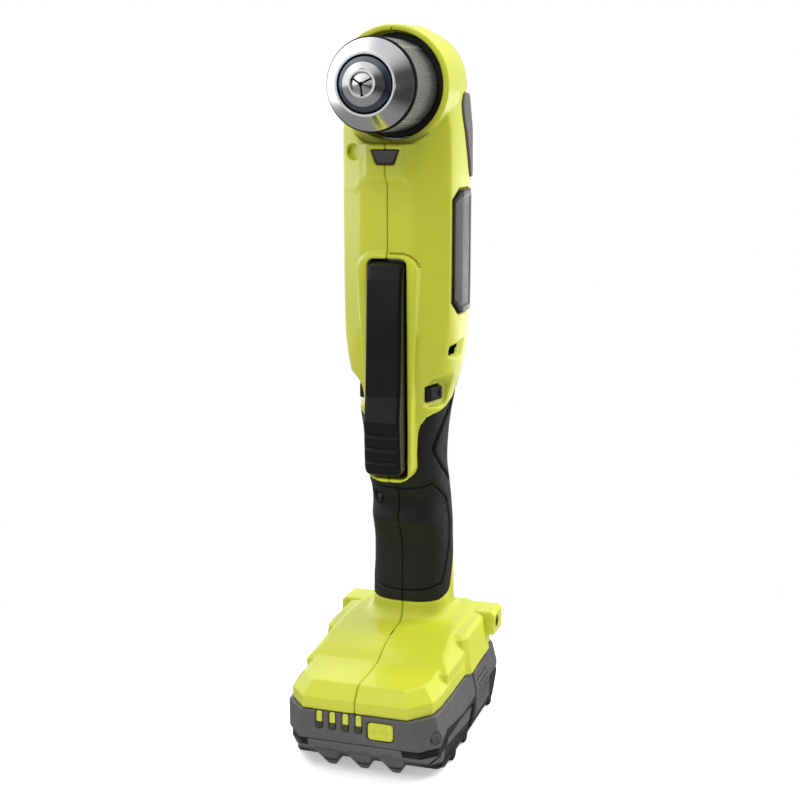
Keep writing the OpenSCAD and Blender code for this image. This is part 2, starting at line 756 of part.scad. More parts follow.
// Cross bolt that sets forward, locked and reverse, with a wedge button at each end
selector_half = 20.4;
selector_front_half = 17.2;
selector_plan = both_sides([[selector_front_half, selector_y0], [selector_half, selector_y1]]);
module selector_bar() color(dark) plan_slab(selector_plan, selector_z0, selector_z1);

// Spindle: chuck thread, front journal, gear seat and rear journal
module spindle() color(steel) on_chuck_axis() difference() {
    rotate_extrude() polygon([[0, socket_f], [socket_r - 0.6, socket_f], [socket_r, socket_f - 0.6],
        [socket_r, -2.6], [6, -2.6], [6, -12.6], [7.4, -12.6], [7.4, -15], [6, -15], [6, -35.4], [4, -35.4],
        [4, -43.2], [0, -43.2]]);
    translate([0, 0, -6]) cylinder(r = 2.4, h = 20);
}

// Chuck body: nose, jaw guides and a threaded socket for the spindle
module jaw_place(k)
    rotate([0, 0, 90 + 120*k]) translate([jaw_tip_r, 0, tip_f]) rotate([0, -jaw_lean, 0]) children();
module chuck_body() color(bright) on_chuck_axis() difference() {
    rotate_extrude() polygon([[0, chuck_back_f], [10.4, chuck_back_f], [chuck_body_r, chuck_back_f + 1.4],
        [chuck_body_r, 38.4], [11.2, 39.6], [9.4, 40.6], [9.2, 41.2], [5.9, tip_f], [0, tip_f]]);
    translate([0, 0, chuck_back_f - 1]) cylinder(r = socket_r, h = socket_f - chuck_back_f + 1);
    translate([0, 0, socket_f - eps]) cylinder(r = chuck_bore_r, h = 40);
    for (k = [0:2]) jaw_place(k) translate([0, 0, -48]) cylinder(r = jaw_bore_r, h = 60);
}

// Screw that locks the chuck on the spindle
module chuck_screw() color(steel) on_chuck_axis() difference() {
    union() {
        translate([0, 0, socket_f]) cylinder(r = 3.9, h = 3);
        translate([0, 0, -4]) cylinder(r = 2.4, h = socket_f + 4 + eps);
    }
    translate([0, 0, socket_f + 1.4]) cylinder(r = 2.2, h = 4, $fn = 6);
}

// Jaws: round stock in the leaning guides, ground to a wedge and a small grip groove
module jaw(k) on_chuck_axis() difference() {
    jaw_place(k) translate([0, 0, -jaw_length]) cylinder(r = jaw_r, h = jaw_length + 4);
    rotate_extrude() polygon([[0, jaw_nose_f], [30, jaw_nose_f - 30*jaw_nose_slope], [30, 80], [0, 80]]);
    rotate([0, 0, 90 + 120*k]) for (side = [-1, 1]) rotate([0, 0, side*60])
        translate([-60, side > 0 ? -jaw_gap : -60 + jaw_gap, -20]) cube([120, 60, 90]);
    translate([0, 0, -20]) cylinder(r = jaw_opening/2, h = 90);
}
module jaw_1() color(bright) jaw(0);
module jaw_2() color(bright) jaw(1);
module jaw_3() color(bright) jaw(2);

// Sleeve that is turned by hand, with the nose ring, nut and thrust ring that turn with it
module chuck_sleeve() color(dark) on_chuck_axis() difference() {
    rotate_extrude() polygon([[18.6, sleeve_back_f], [sleeve_r - 0.8, sleeve_back_f],
        [sleeve_r, sleeve_back_f + 0.8], [sleeve_r, sleeve_front_f], [17.4, sleeve_front_f], [17.4, 24],
        [16.5, 24], [16.5, 15.4], [18.6, 13.6]]);
    for (k = [0:2], side = [-1, 1]) rotate([0, 0, 120*k + side*55])
        translate([sleeve_r + 0.5, 0, 2]) cylinder(r = 1.1, h = 26);
}
module chuck_nose_ring() color(bright) on_chuck_axis() rotate_extrude() polygon([[17.4, sleeve_front_f],
    [sleeve_r - 0.5, sleeve_front_f], [sleeve_r - 0.3, sleeve_front_f + 0.5], [13.6, nose_front_f - 0.4],
    [13.4, nose_front_f], [12.4, nose_front_f], [12.3, nose_front_f - 0.3], [12.3, nose_front_f - 2],
    [16.4, sleeve_front_f]]);
module chuck_nut() color(steel) on_chuck_axis()
    rotate_extrude() polygon([[14, 17], [16.5, 17], [16.5, 23], [12.4, 23]]);
module chuck_thrust_ring() color(steel) on_chuck_axis()
    rotate_extrude() polygon([[14.6, 15.4], [16.5, 15.4], [16.5, 17], [14.6, 17]]);

// A straight bevel gear with its apex at the origin and its large end below. Tooth points lie on the back
// cone of the gear, and run straight to the apex
function bevel_ring(z, other, m, k) =
    let(cone = atan(z/other), virtual = z/cos(cone), r = m*z/2, h = m*other/2)
    let(radii = tooth_radii(virtual, m, 0.85, 1.15), pitch = m*virtual/2)
    [for (i = [0:z - 1], j = [0:7])
        let(q = j < 4 ? j : 7 - j, way = j < 4 ? -1 : 1, e = radii[q] - pitch)
        let(a = 360*i/z + way*tooth_half(radii[q], virtual, m)/cos(cone))
        let(rr = k*(r + e*cos(cone)), hh = k*(h - e*sin(cone)))
        [rr*cos(a), rr*sin(a), -hh]];
function circle_ring(n, r, h) = [for (i = [0:n - 1]) [r*cos(360*(i - 3.5)/n), r*sin(360*(i - 3.5)/n), -h]];
module bevel_teeth_form(z, other, m, back_r, front_r) {
    reach = m*sqrt(z*z + other*other)/2;
    k = 1 - bevel_face/reach;
    h = m*other/2;
    drop = 1.15*m*sin(atan(z/other));
    loft([circle_ring(8*z, back_r, h + drop + 0.6), bevel_ring(z, other, m, 1), bevel_ring(z, other, m, k),
        circle_ring(8*z, front_r, k*h + 0.2)]);
}
module bevel_gear() color(steel) difference() {
    union() {
        translate([0, motor_y, head_z]) rotate([90, 0, 0]) rotate([0, 0, 6])
            bevel_teeth_form(bevel_teeth, pinion_teeth, bevel_module, 14.5, 9.5);
        rod_y(10, 30.4, 34.4, 0, head_z);
    }
    rod_y(6, 0, 60, 0, head_z);
}
module bevel_pinion() color(steel) difference() {
    union() {
        translate([0, motor_y, head_z]) rotate([0, 0, 15])
            bevel_teeth_form(pinion_teeth, bevel_teeth, bevel_module, 5.6, 2.6);
        rod_z(5, 262.8, head_z - 16, 0, motor_y);
    }
}

// Carrier of the three planets
module planet_carrier() color(steel) {
    rod_z(15, 258.8, 262.8, 0, motor_y);
    for (k = [0:2]) translate([planet_orbit_r*cos(120*k), motor_y + planet_orbit_r*sin(120*k), 0])
        rod_z(2, planet_z0 - 0.6, 258.8 + eps, 0, 0);
}
module planet(k) translate([planet_orbit_r*cos(120*k), motor_y + planet_orbit_r*sin(120*k), planet_z0])
    rotate([0, 0, 120*k + 180 - 180/planet_teeth + 120*k*sun_teeth/planet_teeth]) difference() {
        spur_gear(planet_teeth, planet_module, planet_z1 - planet_z0);
        translate([0, 0, -1]) cylinder(r = 2 + running, h = 20);
    }
module planet_1() color(steel) planet(0);
module planet_2() color(steel) planet(1);
module planet_3() color(steel) planet(2);

// Rotor: shaft, core, magnets, sun gear and fan
module rotor_shaft() color(steel) rod_z(shaft_r, 189, planet_z1 - 0.4, 0, motor_y);
module sun_gear() color(steel) difference() {
    translate([0, motor_y, planet_z0]) spur_gear(sun_teeth, planet_module, planet_z1 - planet_z0 - 0.4);
    rod_z(shaft_r, 240, 270, 0, motor_y);
}
module magnet_slots() for (k = [0:3]) translate([0, motor_y, 0]) rotate([0, 0, 90*k])
    block(7, 9.4, -5, 5, stator_z0 + 1, stator_z1 - 1);
module rotor_core() color(steel) difference() {
    rod_z(rotor_r, stator_z0, stator_z1, 0, motor_y);
    rod_z(shaft_r, 190, 250, 0, motor_y);
    magnet_slots();
}
module rotor_magnets() color(mid_grey) magnet_slots();
module fan() color(dark) difference() {
    union() {
        rod_z(19, 201.4, 202.8, 0, motor_y);
        rod_z(5, 196.6, 202.8, 0, motor_y);
        for (k = [0:8])
            translate([0, motor_y, 0]) rotate([0, 0, 40*k]) block(8, 18.6, -0.6, 0.6, 196.8, 201.4 + eps);
    }
    rod_z(shaft_r, 190, 210, 0, motor_y);
}

// Battery: outlines in plan
pack_outline = both_sides([[pack_half - 5, pack_front_y], [pack_half, pack_front_y + 6.5], [pack_half, 51],
    [pack_half - 7, pack_l/2]]);
pack_inner = both_sides([[pack_half - 6, pack_front_y + pack_wall], [pack_half - pack_wall, pack_front_y + 7],
    [pack_half - pack_wall, 50.8], [pack_half - 7.6, pack_l/2 - pack_wall]]);
pack_top_outline = both_sides([[25, pack_front_y], [34.8, -48], [35.8, -38], [35.8, 50], [30, pack_l/2]]);
pack_top_inner = both_sides([[24, pack_front_y + pack_wall], [32.4, -47.2], [33.4, -38], [33.4, 50],
    [29, pack_l/2 - pack_wall]]);
pack_lean_z = 22;
base_outline = both_sides([[33.5, -39.5], [36, -36], [36, 51], [31, 56.5]]);
base_inner = both_sides([[31.5, -37], [34, -34], [33.8, 49.5], [29.5, 54]]);
stem_outline = both_sides([[6.6, 18], [12.4, 24], [12.4, 33], [8, 38.4]]);
stem_inner = both_sides([[6.2, 18.9], [11.5, 24.2], [11.5, 32.8], [7.6, 37.5]]);
module battery_top() color(mid_grey) difference() {
    union() {
        hull() {
            plan_slab(pack_outline, pack_split_z, pack_lean_z);
            plan_slab(pack_top_outline, pack_split_z, pack_top_z);
        }
        plan_slab(stem_outline, pack_top_z - eps, stem_top_z);
    }
    hull() {
        plan_slab(pack_inner, pack_split_z - 1, pack_lean_z);
        plan_slab(pack_top_inner, pack_split_z - 1, pack_top_z - 2);
    }
    plan_slab(stem_inner, pack_split_z, stem_top_z - 1.6);
    for (x = blade_x) block(x - 0.9, x + 0.9, blade_y0 - 1, blade_y1 + 1, stem_top_z - 4, stem_top_z + 1);
    for (x = window_x)
        block(x - window_w/2, x + window_w/2, pack_front_y - 1, pack_front_y + 1.2,
            window_z0, pack_top_z + 1);
    block(button_x0 - 0.3, button_x1 + 0.3, pack_front_y - 1, pack_front_y + 4,
        button_z0 - 0.3, button_z1 + 0.3);
    latch_pockets();
}
module latch_pockets() for (side = [-1, 1])
    block(min(side*(pack_half - latch_depth - latch_travel - 0.4), side*(pack_half + 5)),
        max(side*(pack_half - latch_depth - latch_travel - 0.4), side*(pack_half + 5)),
        latch_y0 - 0.4, latch_y1 + 0.4, latch_z0 - 0.4, latch_z1 + 0.4);

// Lower shell with the feet that the drill stands on
front_feet_x = [-15.4, 0, 15.4];
side_feet_y = [-22, -2, 44];
module battery_base() color(dark) difference() {
    union() {
        hull() {
            plan_slab(pack_outline, pack_split_z - 2, pack_split_z);
            plan_slab(base_outline, pack_floor_z, pack_floor_z + 1);
        }
        for (x = front_feet_x) for (turn = [0, 1]) mirror([0, turn, 0])
            side_slab([[-44, 0], [-26, 0], [-26, 6], [turn > 0 ? -50 : -53.6, 12]], x - 3.4, x + 3.4);
        for (side = [-1, 1], y = side_feet_y)
            block(min(side*26, side*36.6), max(side*26, side*36.6), y - 3.2, y + 3.2, 0, 8);
    }
    hull() {
        plan_slab(pack_inner, pack_split_z - 1, pack_split_z + 1);
        plan_slab(base_inner, pack_floor_z + 2, pack_floor_z + 3);
    }
    latch_pockets();
}

// Cells: four across the base and one up the stem
cell_rows = [-37.5, -18.8, -0.1, 43.8];
module battery_cells() color([0.20, 0.35, 0.55]) {
    for (y = cell_rows) rod_x(cell_r, -cell_l/2, cell_l/2, y, 17);
    rod_z(cell_r, stem_cell_z, stem_cell_z + cell_l, 0, stem_cell_y);
}
module battery_board() color(board_green) block(-26, 26, 15, 35, 8, 9.6);
module gauge_windows() color([0.55, 0.60, 0.40]) for (x = window_x)
    block(x - window_w/2, x + window_w/2, pack_front_y + 0.3, pack_front_y + 1.2,
        window_z0, pack_top_z - 0.2);
module gauge_button() color(lime) {
    block(button_x0, button_x1, pack_front_y + 0.2, pack_front_y + 3, button_z0, button_z1);
    block(button_x0 + 3, button_x1 - 3, pack_front_y, pack_front_y + 0.3, button_z0 + 2.6, button_z1 - 2.6);
}
module latch(side) {
    x0 = pack_half - latch_depth;
    x1 = pack_half + 0.6;
    outline = [[x0, latch_z0], [x1 - 1.4, latch_z0], [x1, latch_z0 + 3], [x1, pack_lean_z],
        [x1 - 1.9, latch_z1], [x0, latch_z1]];
    translate([0, latch_y1, 0]) rotate([90, 0, 0]) linear_extrude(latch_y1 - latch_y0)
        polygon([for (p = outline) [side*p[0], p[1]]]);
}
module latch_left() color(dark) latch(-1);
module latch_right() color(dark) latch(1);

housing_left();
housing_right();
grip_left();
grip_right();
head_bumper();
badge_left();
badge_right();
led_lens();
led_board();
housing_screws();
clip_inserts();
gear_case();
gear_case_cover();
spindle_front_bearing();
spindle_rear_bearing();
pinion_bearing();
motor_bearings();
ring_gear();
motor_bracket();
motor_end_plate();
stator_core();
stator_windings();
controller_board();
switch_body();
switch_plunger();
terminal_block();
terminal_blades();
trigger_pin();
trigger_paddle();
selector_bar();
spindle();
bevel_gear();
chuck_body();
chuck_screw();
jaw_1();
jaw_2();
jaw_3();
chuck_sleeve();
chuck_nose_ring();
chuck_nut();
chuck_thrust_ring();
bevel_pinion();
planet_carrier();
planet_1();
planet_2();
planet_3();
rotor_shaft();
sun_gear();
rotor_core();
rotor_magnets();
fan();
battery_top();
battery_base();
battery_cells();
battery_board();
gauge_windows();
gauge_button();
latch_left();
latch_right();
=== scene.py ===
"""Looks of the right angle drill: moulded shells, rubber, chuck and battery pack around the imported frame."""
import json
import math

import bpy
import numpy as np
import openvdb
from mathutils import Matrix, Vector


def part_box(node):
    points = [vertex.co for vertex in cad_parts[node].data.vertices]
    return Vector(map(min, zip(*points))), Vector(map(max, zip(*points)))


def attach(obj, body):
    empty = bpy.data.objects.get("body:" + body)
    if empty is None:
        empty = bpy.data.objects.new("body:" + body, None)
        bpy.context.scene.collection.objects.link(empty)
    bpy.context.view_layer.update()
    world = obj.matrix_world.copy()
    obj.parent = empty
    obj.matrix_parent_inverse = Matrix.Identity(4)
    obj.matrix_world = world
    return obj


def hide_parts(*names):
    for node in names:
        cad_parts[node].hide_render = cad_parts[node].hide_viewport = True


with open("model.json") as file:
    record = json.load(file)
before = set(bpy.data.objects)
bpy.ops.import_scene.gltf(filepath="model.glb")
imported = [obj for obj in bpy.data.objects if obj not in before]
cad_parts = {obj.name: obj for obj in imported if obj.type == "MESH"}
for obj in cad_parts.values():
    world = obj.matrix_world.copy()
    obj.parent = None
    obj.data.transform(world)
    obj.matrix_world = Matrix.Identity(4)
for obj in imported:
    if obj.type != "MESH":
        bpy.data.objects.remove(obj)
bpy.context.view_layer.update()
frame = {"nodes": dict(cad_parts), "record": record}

# Shapes below are written in millimetres and turned to metres when a mesh is made
MM = 0.001
SHARP_ANGLE = math.radians(24)

# Places read from the frame
CHUCK_Z = (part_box("chuck_sleeve")[0].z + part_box("chuck_sleeve")[1].z)/2/MM
SLEEVE_R = (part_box("chuck_sleeve")[1].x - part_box("chuck_sleeve")[0].x)/2/MM
PADDLE_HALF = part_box("trigger_paddle")[1].x/MM + 0.6
SELECTOR_LOW, SELECTOR_HIGH = (corner/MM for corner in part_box("selector_bar"))
PACK_LOW, PACK_HIGH = (corner/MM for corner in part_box("battery_top"))
PACK_SPLIT_Z = PACK_LOW.z
PACK_HALF = PACK_HIGH.x
PACK_FRONT_Y = PACK_LOW.y
PACK_BACK_Y = PACK_HIGH.y
STEM_TOP_Z = PACK_HIGH.z
FOOT_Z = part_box("housing_right")[0].z/MM
TOP_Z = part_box("housing_right")[1].z/MM
LATCH_LOW, LATCH_HIGH = (corner/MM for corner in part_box("latch_right"))
BUTTON_LOW, BUTTON_HIGH = (corner/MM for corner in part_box("gauge_button"))

# Body and handle, as sections: height, front, widest, back, half width
BODY_HALF = 27.6
HANDLE_HALF = 18.5
STATIONS = np.array([
    [56, 12.7, 32, 51.5, HANDLE_HALF + 0.5],
    [75, 12.7, 32, 50.8, HANDLE_HALF + 0.2],
    [90, 12.4, 31.5, 50.2, HANDLE_HALF],
    [98, 9, 31, 49.6, HANDLE_HALF],
    [104, 5.6, 30, 49, HANDLE_HALF - 0.2],
    [111, 8, 28.5, 47.2, HANDLE_HALF - 0.3],
    [118, 6, 26.5, 44.6, HANDLE_HALF - 0.4],
    [131, -2, 22, 41, HANDLE_HALF - 0.5],
    [149, -4, 20, 43.5, HANDLE_HALF + 0.7],
    [165, -5, 19, 49, HANDLE_HALF + 3.3],
    [175, -6, 18.3, 52, BODY_HALF - 3],
    [186, -7, 17.8, 55, BODY_HALF - 1],
    [200, -8, 17.5, 56.4, BODY_HALF - 0.2],
    [250, -8.8, 17.5, 57, BODY_HALF],
    [285, -8.8, 17.5, 57, BODY_HALF - 0.2],
])
SQUARENESS = 2.6
DOME_START_Z = 285
DOME_R = 25.6
DOME_TOP_Z = CHUCK_Z + DOME_R
DOME_FULLNESS = 2.3
BODY_BACK_Y = 57

# Details of the housing
COLLAR_R = 26.3
COLLAR_Y = -3.3
COLLAR_SPREAD = 0.08
RECESS_R = 23.6
WALL = 2.4
GRIP_T = 2.0
RUBBER_RIB = 1.6
RIM_HALVES = [11.1, 11.4, 14.4]
RIM_LOW_Z = 125.4
RIM_HIGH_Z = 232
PANEL_Y = -9.4
LED_FACE_Y = -13
LED_FACE_HALF = 8
LED_TOP_Z = 280.3
LED_LOW_Z = 265.6
LENS_POCKET = [(-6.8, 278), (6.8, 278), (4.2, 271.2), (-4.2, 271.2)]
LENS = [(-5.7, 277.1), (5.7, 277.1), (3.4, 272.1), (-3.4, 272.1)]
FACET = [(13.4, -7.6), (25.4, 3.7)]
FACET_END_Z = 176
SCREWS = [(-3, 276), (49, 294), (52, 256), (48, 187), (37.5, 163), (11.5, 113.5), (-24, 37), (49.5, 36.4)]
GRIP_SCREW = SCREWS[5]
SCREW_SEAT_X = 9
HEAD_POCKET_X = 17.8
HEAD_POCKET_R = 3.7
HEAD_POCKET_STRETCH = 1.28
HEAD_POCKET_DEPTH = 1.9
SCREW_POCKET_R = 3.5
INSERT_Y = 42.4
INSERT_Z = 45.5
INSERT_R = 2.85
BOSS_R = 4.4
SELECTOR_FACING = (0.948, -0.319)
BLOCK_OUTER_X = 40
SEAM_GAP = 0.06
EDGE = 1.1
BADGE_PROUD = 1.35

# Blocks of space that changes are kept to, as two corners
FOOT_SPACE = ((-5, -60, 0), (60, 60, 80))
SELECTOR_SPACE = ((-5, -10, 150), (40, 40, 182))

# Outlines seen from the side, as depth and height
GRIP_OUTLINE = [(-2, 125), (-0.7, 148.5), (-0.1, 152.5), (1.6, 155.6), (4.4, 156.6), (10, 157.4),
                (16.4, 158.6), (24.8, 161.5), (29.7, 165.4), (31.5, 172), (36, 183), (48, 194),
                (70, 199), (70, 90), (44, 86), (37.6, 76.4), (34, 70.6), (30.8, 64.8), (28.5, 63.3),
                (25, 62.3), (20, 61.4), (-20, 61.3), (-20, 125)]
GRIP_PANEL = [(-20, 119.4), (6, 120), (11.5, 122.3), (14.5, 119.6), (24.8, 112.1), (28, 108),
              (29.4, 104.2), (30.8, 97.9), (30.6, 90), (29.5, 85), (25.3, 76.7), (23.6, 72.4),
              (21.5, 69.6), (17.2, 68.3), (12.8, 66.9), (-20, 66.7)]
CHEVRON = [(30, 168.4), (24.1, 162.4), (16, 154.3), (10.4, 148.2), (7, 142.4), (6.4, 140.4), (7, 138),
           (9.6, 134.6), (15.8, 129.1), (26.3, 121.7), (34, 116.6), (34, 120.2), (26.4, 125),
           (14.4, 133.6), (11, 136.8), (9.9, 139), (10.4, 141.2), (16.5, 147.7), (23.5, 153.6),
           (36, 163.6)]
BUMPER_OUTLINE = [(26, 303), (21, 300.4), (19, 298), (18.3, 294), (19.6, 288), (22, 282), (29.5, 265.5),
                  (32, 264), (90, 264), (90, 303)]
BADGE_OUTLINE = [(5, 209), (11.5, 203.2), (27, 203.2), (29, 206), (29, 257), (27, 259.8), (11.5, 259.8),
                 (5, 255)]


class Grid:
    """A block of sample points, kept as three axes that broadcast against each other."""

    def __init__(self, axes, step):
        self.axes = axes
        self.step = step
        self.x = axes[0][:, None, None]
        self.y = axes[1][None, :, None]
        self.z = axes[2][None, None, :]

    def window(self, low, high):
        """The index slices of a smaller block, and the grid inside it."""
        cut = []
        for axis, a, b in zip(self.axes, low, high):
            cut.append(slice(int(np.searchsorted(axis, a)), int(np.searchsorted(axis, b, side="right"))))
        return tuple(cut), Grid([axis[s] for axis, s in zip(self.axes, cut)], self.step)


def make_grid(low, high, step):
    axes = [np.arange(a, b + step, step, dtype=np.float32) for a, b in zip(low, high)]
    return Grid(axes, step)


def grid_round(low, high, room, step):
    """A grid over a box with some room on every side."""
    return make_grid([a - room for a in low], [b + room for b in high], step)


# Distance fields are negative inside. A soft edge of size k rounds the corner where two fields meet
def soft_min(a, b, k):
    h = np.clip(0.5 + 0.5*(b - a)/k, 0, 1)
    return b + (a - b)*h - k*h*(1 - h)


def soft_max(a, b, k):
    return -soft_min(-a, -b, k)


def cut_away(a, b, k=EDGE):
    return soft_max(a, -b, k)


def edit(field, grid, low, high, change):
    """Change a field inside a block only."""
    cut, local = grid.window(low, high)
    field[cut] = change(field[cut], local)


def carve(field, grid, low, high, shape, k):
    """Cut a shape away inside a block only."""
    edit(field, grid, low, high, lambda f, l: cut_away(f, shape(l), k))


def add_on(field, grid, low, high, shape, k):
    """Join a shape on inside a block only."""
    edit(field, grid, low, high, lambda f, l: soft_min(f, shape(l), k))


def slab(w, low, high):
    return np.maximum(low - w, w - high)


def box_field(g, low, high):
    across, along, up = (slab(w, a, b) for w, a, b in zip((g.x, g.y, g.z), low, high))
    return np.maximum(np.maximum(across, along), up)


def segment_distance(u, v, a, b):
    """Distance from points in a plane to one straight stretch."""
    along = (b[0] - a[0], b[1] - a[1])
    t = np.clip(((u - a[0])*along[0] + (v - a[1])*along[1])/(along[0]**2 + along[1]**2), 0, 1)
    return np.hypot(u - a[0] - t*along[0], v - a[1] - t*along[1])


def outline_field(u, v, outline):
    """Signed distance in a plane to a closed outline."""
    u, v = np.broadcast_arrays(u, v)
    near = np.full(u.shape, 1e6, np.float32)
    inside = np.zeros(u.shape, bool)
    for a, b in zip(outline, list(outline[1:]) + [outline[0]]):
        near = np.minimum(near, segment_distance(u, v, a, b))
        if a[1] != b[1]:
            crossing_u = a[0] + (v - a[1])*(b[0] - a[0])/(b[1] - a[1])
            inside ^= ((a[1] > v) != (b[1] > v)) & (u < crossing_u)
    return np.where(inside, -near, near).astype(np.float32)


def leaning_walls(g, axis, first, last, low, high):
    """Endless walls whose outline changes evenly between two levels along one axis."""
    planes = {0: (g.y[0], g.z[0]), 1: (g.x[:, 0], g.z[:, 0]), 2: (g.x[:, :, 0], g.y[:, :, 0])}
    u, v = planes[axis]
    first, last = np.array(first, float), np.array(last, float)
    layers = []
    for level in g.axes[axis]:
        share = min(1.0, max(0.0, (float(level) - low)/(high - low)))
        layers.append(outline_field(u, v, [tuple(p) for p in first + (last - first)*share]))
    return np.stack(layers, axis=axis)


def tapered(g, axis, first, last, low, high):
    """The same walls, closed at both levels."""
    level_axis = (g.x, g.y, g.z)[axis]
    return np.maximum(leaning_walls(g, axis, first, last, low, high), slab(level_axis, low, high))


def plan_field(g, outline):
    """An outline seen from above, carried straight up."""
    return outline_field(g.x[:, :, 0], g.y[:, :, 0], outline)[:, :, None]


def side_field(g, outline):
    """An outline seen from the side, carried straight across."""
    return outline_field(g.y[0], g.z[0], outline)[None]


def front_field(g, outline):
    """An outline seen from the front, carried straight back."""
    return outline_field(g.x[:, 0], g.z[0], outline)[:, None, :]


def cross_rod(g, place, radius):
    """A round rod across the part, at a depth and a height."""
    return np.hypot(g.y - place[0], g.z - place[1]) - radius


def both_sides(half):
    return list(half) + [(-x, y) for x, y in reversed(half)]


def unit_slope(field, step):
    """Scale a field so that it changes by about one millimetre per millimetre."""
    gx, gy, gz = np.gradient(field, step)
    return field/np.maximum(np.sqrt(gx*gx + gy*gy + gz*gz), 0.15)


def station(z, column):
    """Smooth value of one station column at the given heights."""
    heights, values = STATIONS[:, 0], STATIONS[:, column]
    before = np.maximum(np.arange(len(heights)) - 1, 0)
    after = np.minimum(np.arange(len(heights)) + 1, len(heights) - 1)
    slopes = (values[after] - values[before])/(heights[after] - heights[before])
    i = np.clip(np.searchsorted(heights, z) - 1, 0, len(heights) - 2)
    h = heights[i + 1] - heights[i]
    s = (z - heights[i])/h
    return (values[i]*(1 + 2*s)*(1 - s)**2 + h*slopes[i]*s*(1 - s)**2
            + values[i + 1]*s*s*(3 - 2*s) + h*slopes[i + 1]*s*s*(s - 1))


def body_field(g):
    """Distance to the outside of the body, handle and head."""
    z = g.axes[2].astype(float)
    low = np.clip(z, STATIONS[0, 0], DOME_START_Z)
    front, widest, back, half = (station(low, column) for column in (1, 2, 3, 4))
    rise = np.clip((z - DOME_START_Z)/(DOME_TOP_Z - DOME_START_Z), 0, 0.9995)
    dome_back = widest + (BODY_BACK_Y - widest)*(1 - rise**DOME_FULLNESS)**(1/DOME_FULLNESS)
    over = np.clip(z - CHUCK_Z, 0, DOME_R - 0.02)
    fade = np.clip((z - DOME_START_Z)/20, 0, 1)
    crown = (1 - (over/DOME_R)**DOME_FULLNESS)**(1/DOME_FULLNESS)
    dome_half = DOME_R*crown + (BODY_HALF - 0.2 - DOME_R)*(1 - fade)
    in_dome = z > DOME_START_Z
    back = np.where(in_dome, dome_back, back).astype(np.float32)
    half = np.where(in_dome, dome_half, half).astype(np.float32)
    front, widest = front.astype(np.float32), widest.astype(np.float32)
    across = (np.abs(g.x)/half)**SQUARENESS
    behind = (g.y - widest)/(back - widest)
    ahead = (widest - g.y)/(widest - front)
    depth = np.where(g.y > widest, behind, ahead)**SQUARENESS
    field = ((across + depth)**(1/SQUARENESS) - 1)*half
    field = np.maximum(unit_slope(field, g.step), g.z - DOME_TOP_Z)
    return soft_max(field, facet_plane(g), 0.5)


def facet_plane(g):
    """Distance out from the flat face between the front and the side of the motor body."""
    near, far = FACET
    length = math.hypot(far[0] - near[0], far[1] - near[1])
    plane = ((np.abs(g.x) - near[0])*(far[1] - near[1]) - (g.y - near[1])*(far[0] - near[0]))/length
    return plane - np.clip((FACET_END_Z - g.z)/6, 0, 3)


def chuck_radius(g):
    return np.hypot(g.x, g.z - CHUCK_Z)


def rounded_bar(u, v, half_u, low_v, high_v, corner):
    """A rectangle with round corners in a plane."""
    qu = np.abs(u) - half_u + corner
    qv = np.abs(v - (low_v + high_v)/2) - (high_v - low_v)/2 + corner
    return np.hypot(np.maximum(qu, 0), np.maximum(qv, 0)) + np.minimum(np.maximum(qu, qv), 0) - corner


def front_bar(g, centre, half, low_z, high_z, corner):
    """The same seen from the front, carried straight back."""
    return rounded_bar(g.x[:, 0] - centre, g.z[0], half, low_z, high_z, corner)[:, None, :]


def rim_across(g):
    """The rim's outline seen from the front: narrow at the grip, wider to the head."""
    half = np.interp(g.z[0], [RIM_LOW_Z, 160, 225], RIM_HALVES)
    return front_bar(g, 0, half, RIM_LOW_Z, RIM_HIGH_Z, 8)


def rim_line(g):
    """Fine shadow line round the rim's upper right corner."""
    corner = np.maximum(225.5 - g.z, 1 - g.x)
    return np.maximum(np.abs(rim_across(g)) - 0.3, corner)


RIM_SIDE = [(-11.2, RIM_HIGH_Z + 2), (-8.8, RIM_LOW_Z + 3), (-6.5, RIM_LOW_Z - 1), (12, RIM_LOW_Z - 1),
            (12, RIM_HIGH_Z + 2)]


def rim_field(g):
    """Raised rim round the trigger, with its front leaning to the head."""
    return soft_max(side_field(g, RIM_SIDE), rim_across(g), 2.0)


def panel_field(g):
    """Flat front above and beside the rim, which meets the facets in a soft edge and runs out below."""
    front_y = np.interp(g.z, [165, 200, 230], [-4, -8.6, PANEL_Y])
    narrowing = 0.5*np.maximum(196 - g.z, 0)
    front = soft_max(front_y - g.y, facet_plane(g) + narrowing, 2.4)
    return np.maximum(np.maximum(front, slab(g.z, 170, 276)), g.y)


def led_block_field(g):
    """Block under the chuck that carries the work light, with its flanks in line with the facets."""
    back = g.y - LED_FACE_Y
    flank = (np.abs(g.x) - LED_FACE_HALF - back)*math.sqrt(0.5)
    under = (LED_LOW_Z - 0.85*np.clip(back, 0, 8) - g.z)*0.76
    block = soft_max(soft_max(flank, under, 2.0), -back, 1.2)
    return np.maximum(soft_max(block, g.z - LED_TOP_Z, 0.8), g.y - 2)


def collar_field(g):
    """Ring round the chuck, widening a little towards the back, up to the top of the housing."""
    cone = chuck_radius(g) - COLLAR_R - COLLAR_SPREAD*(g.y - COLLAR_Y)
    return soft_max(soft_max(cone, slab(g.y, COLLAR_Y, 12), 0.9), g.z - TOP_Z, 0.3)


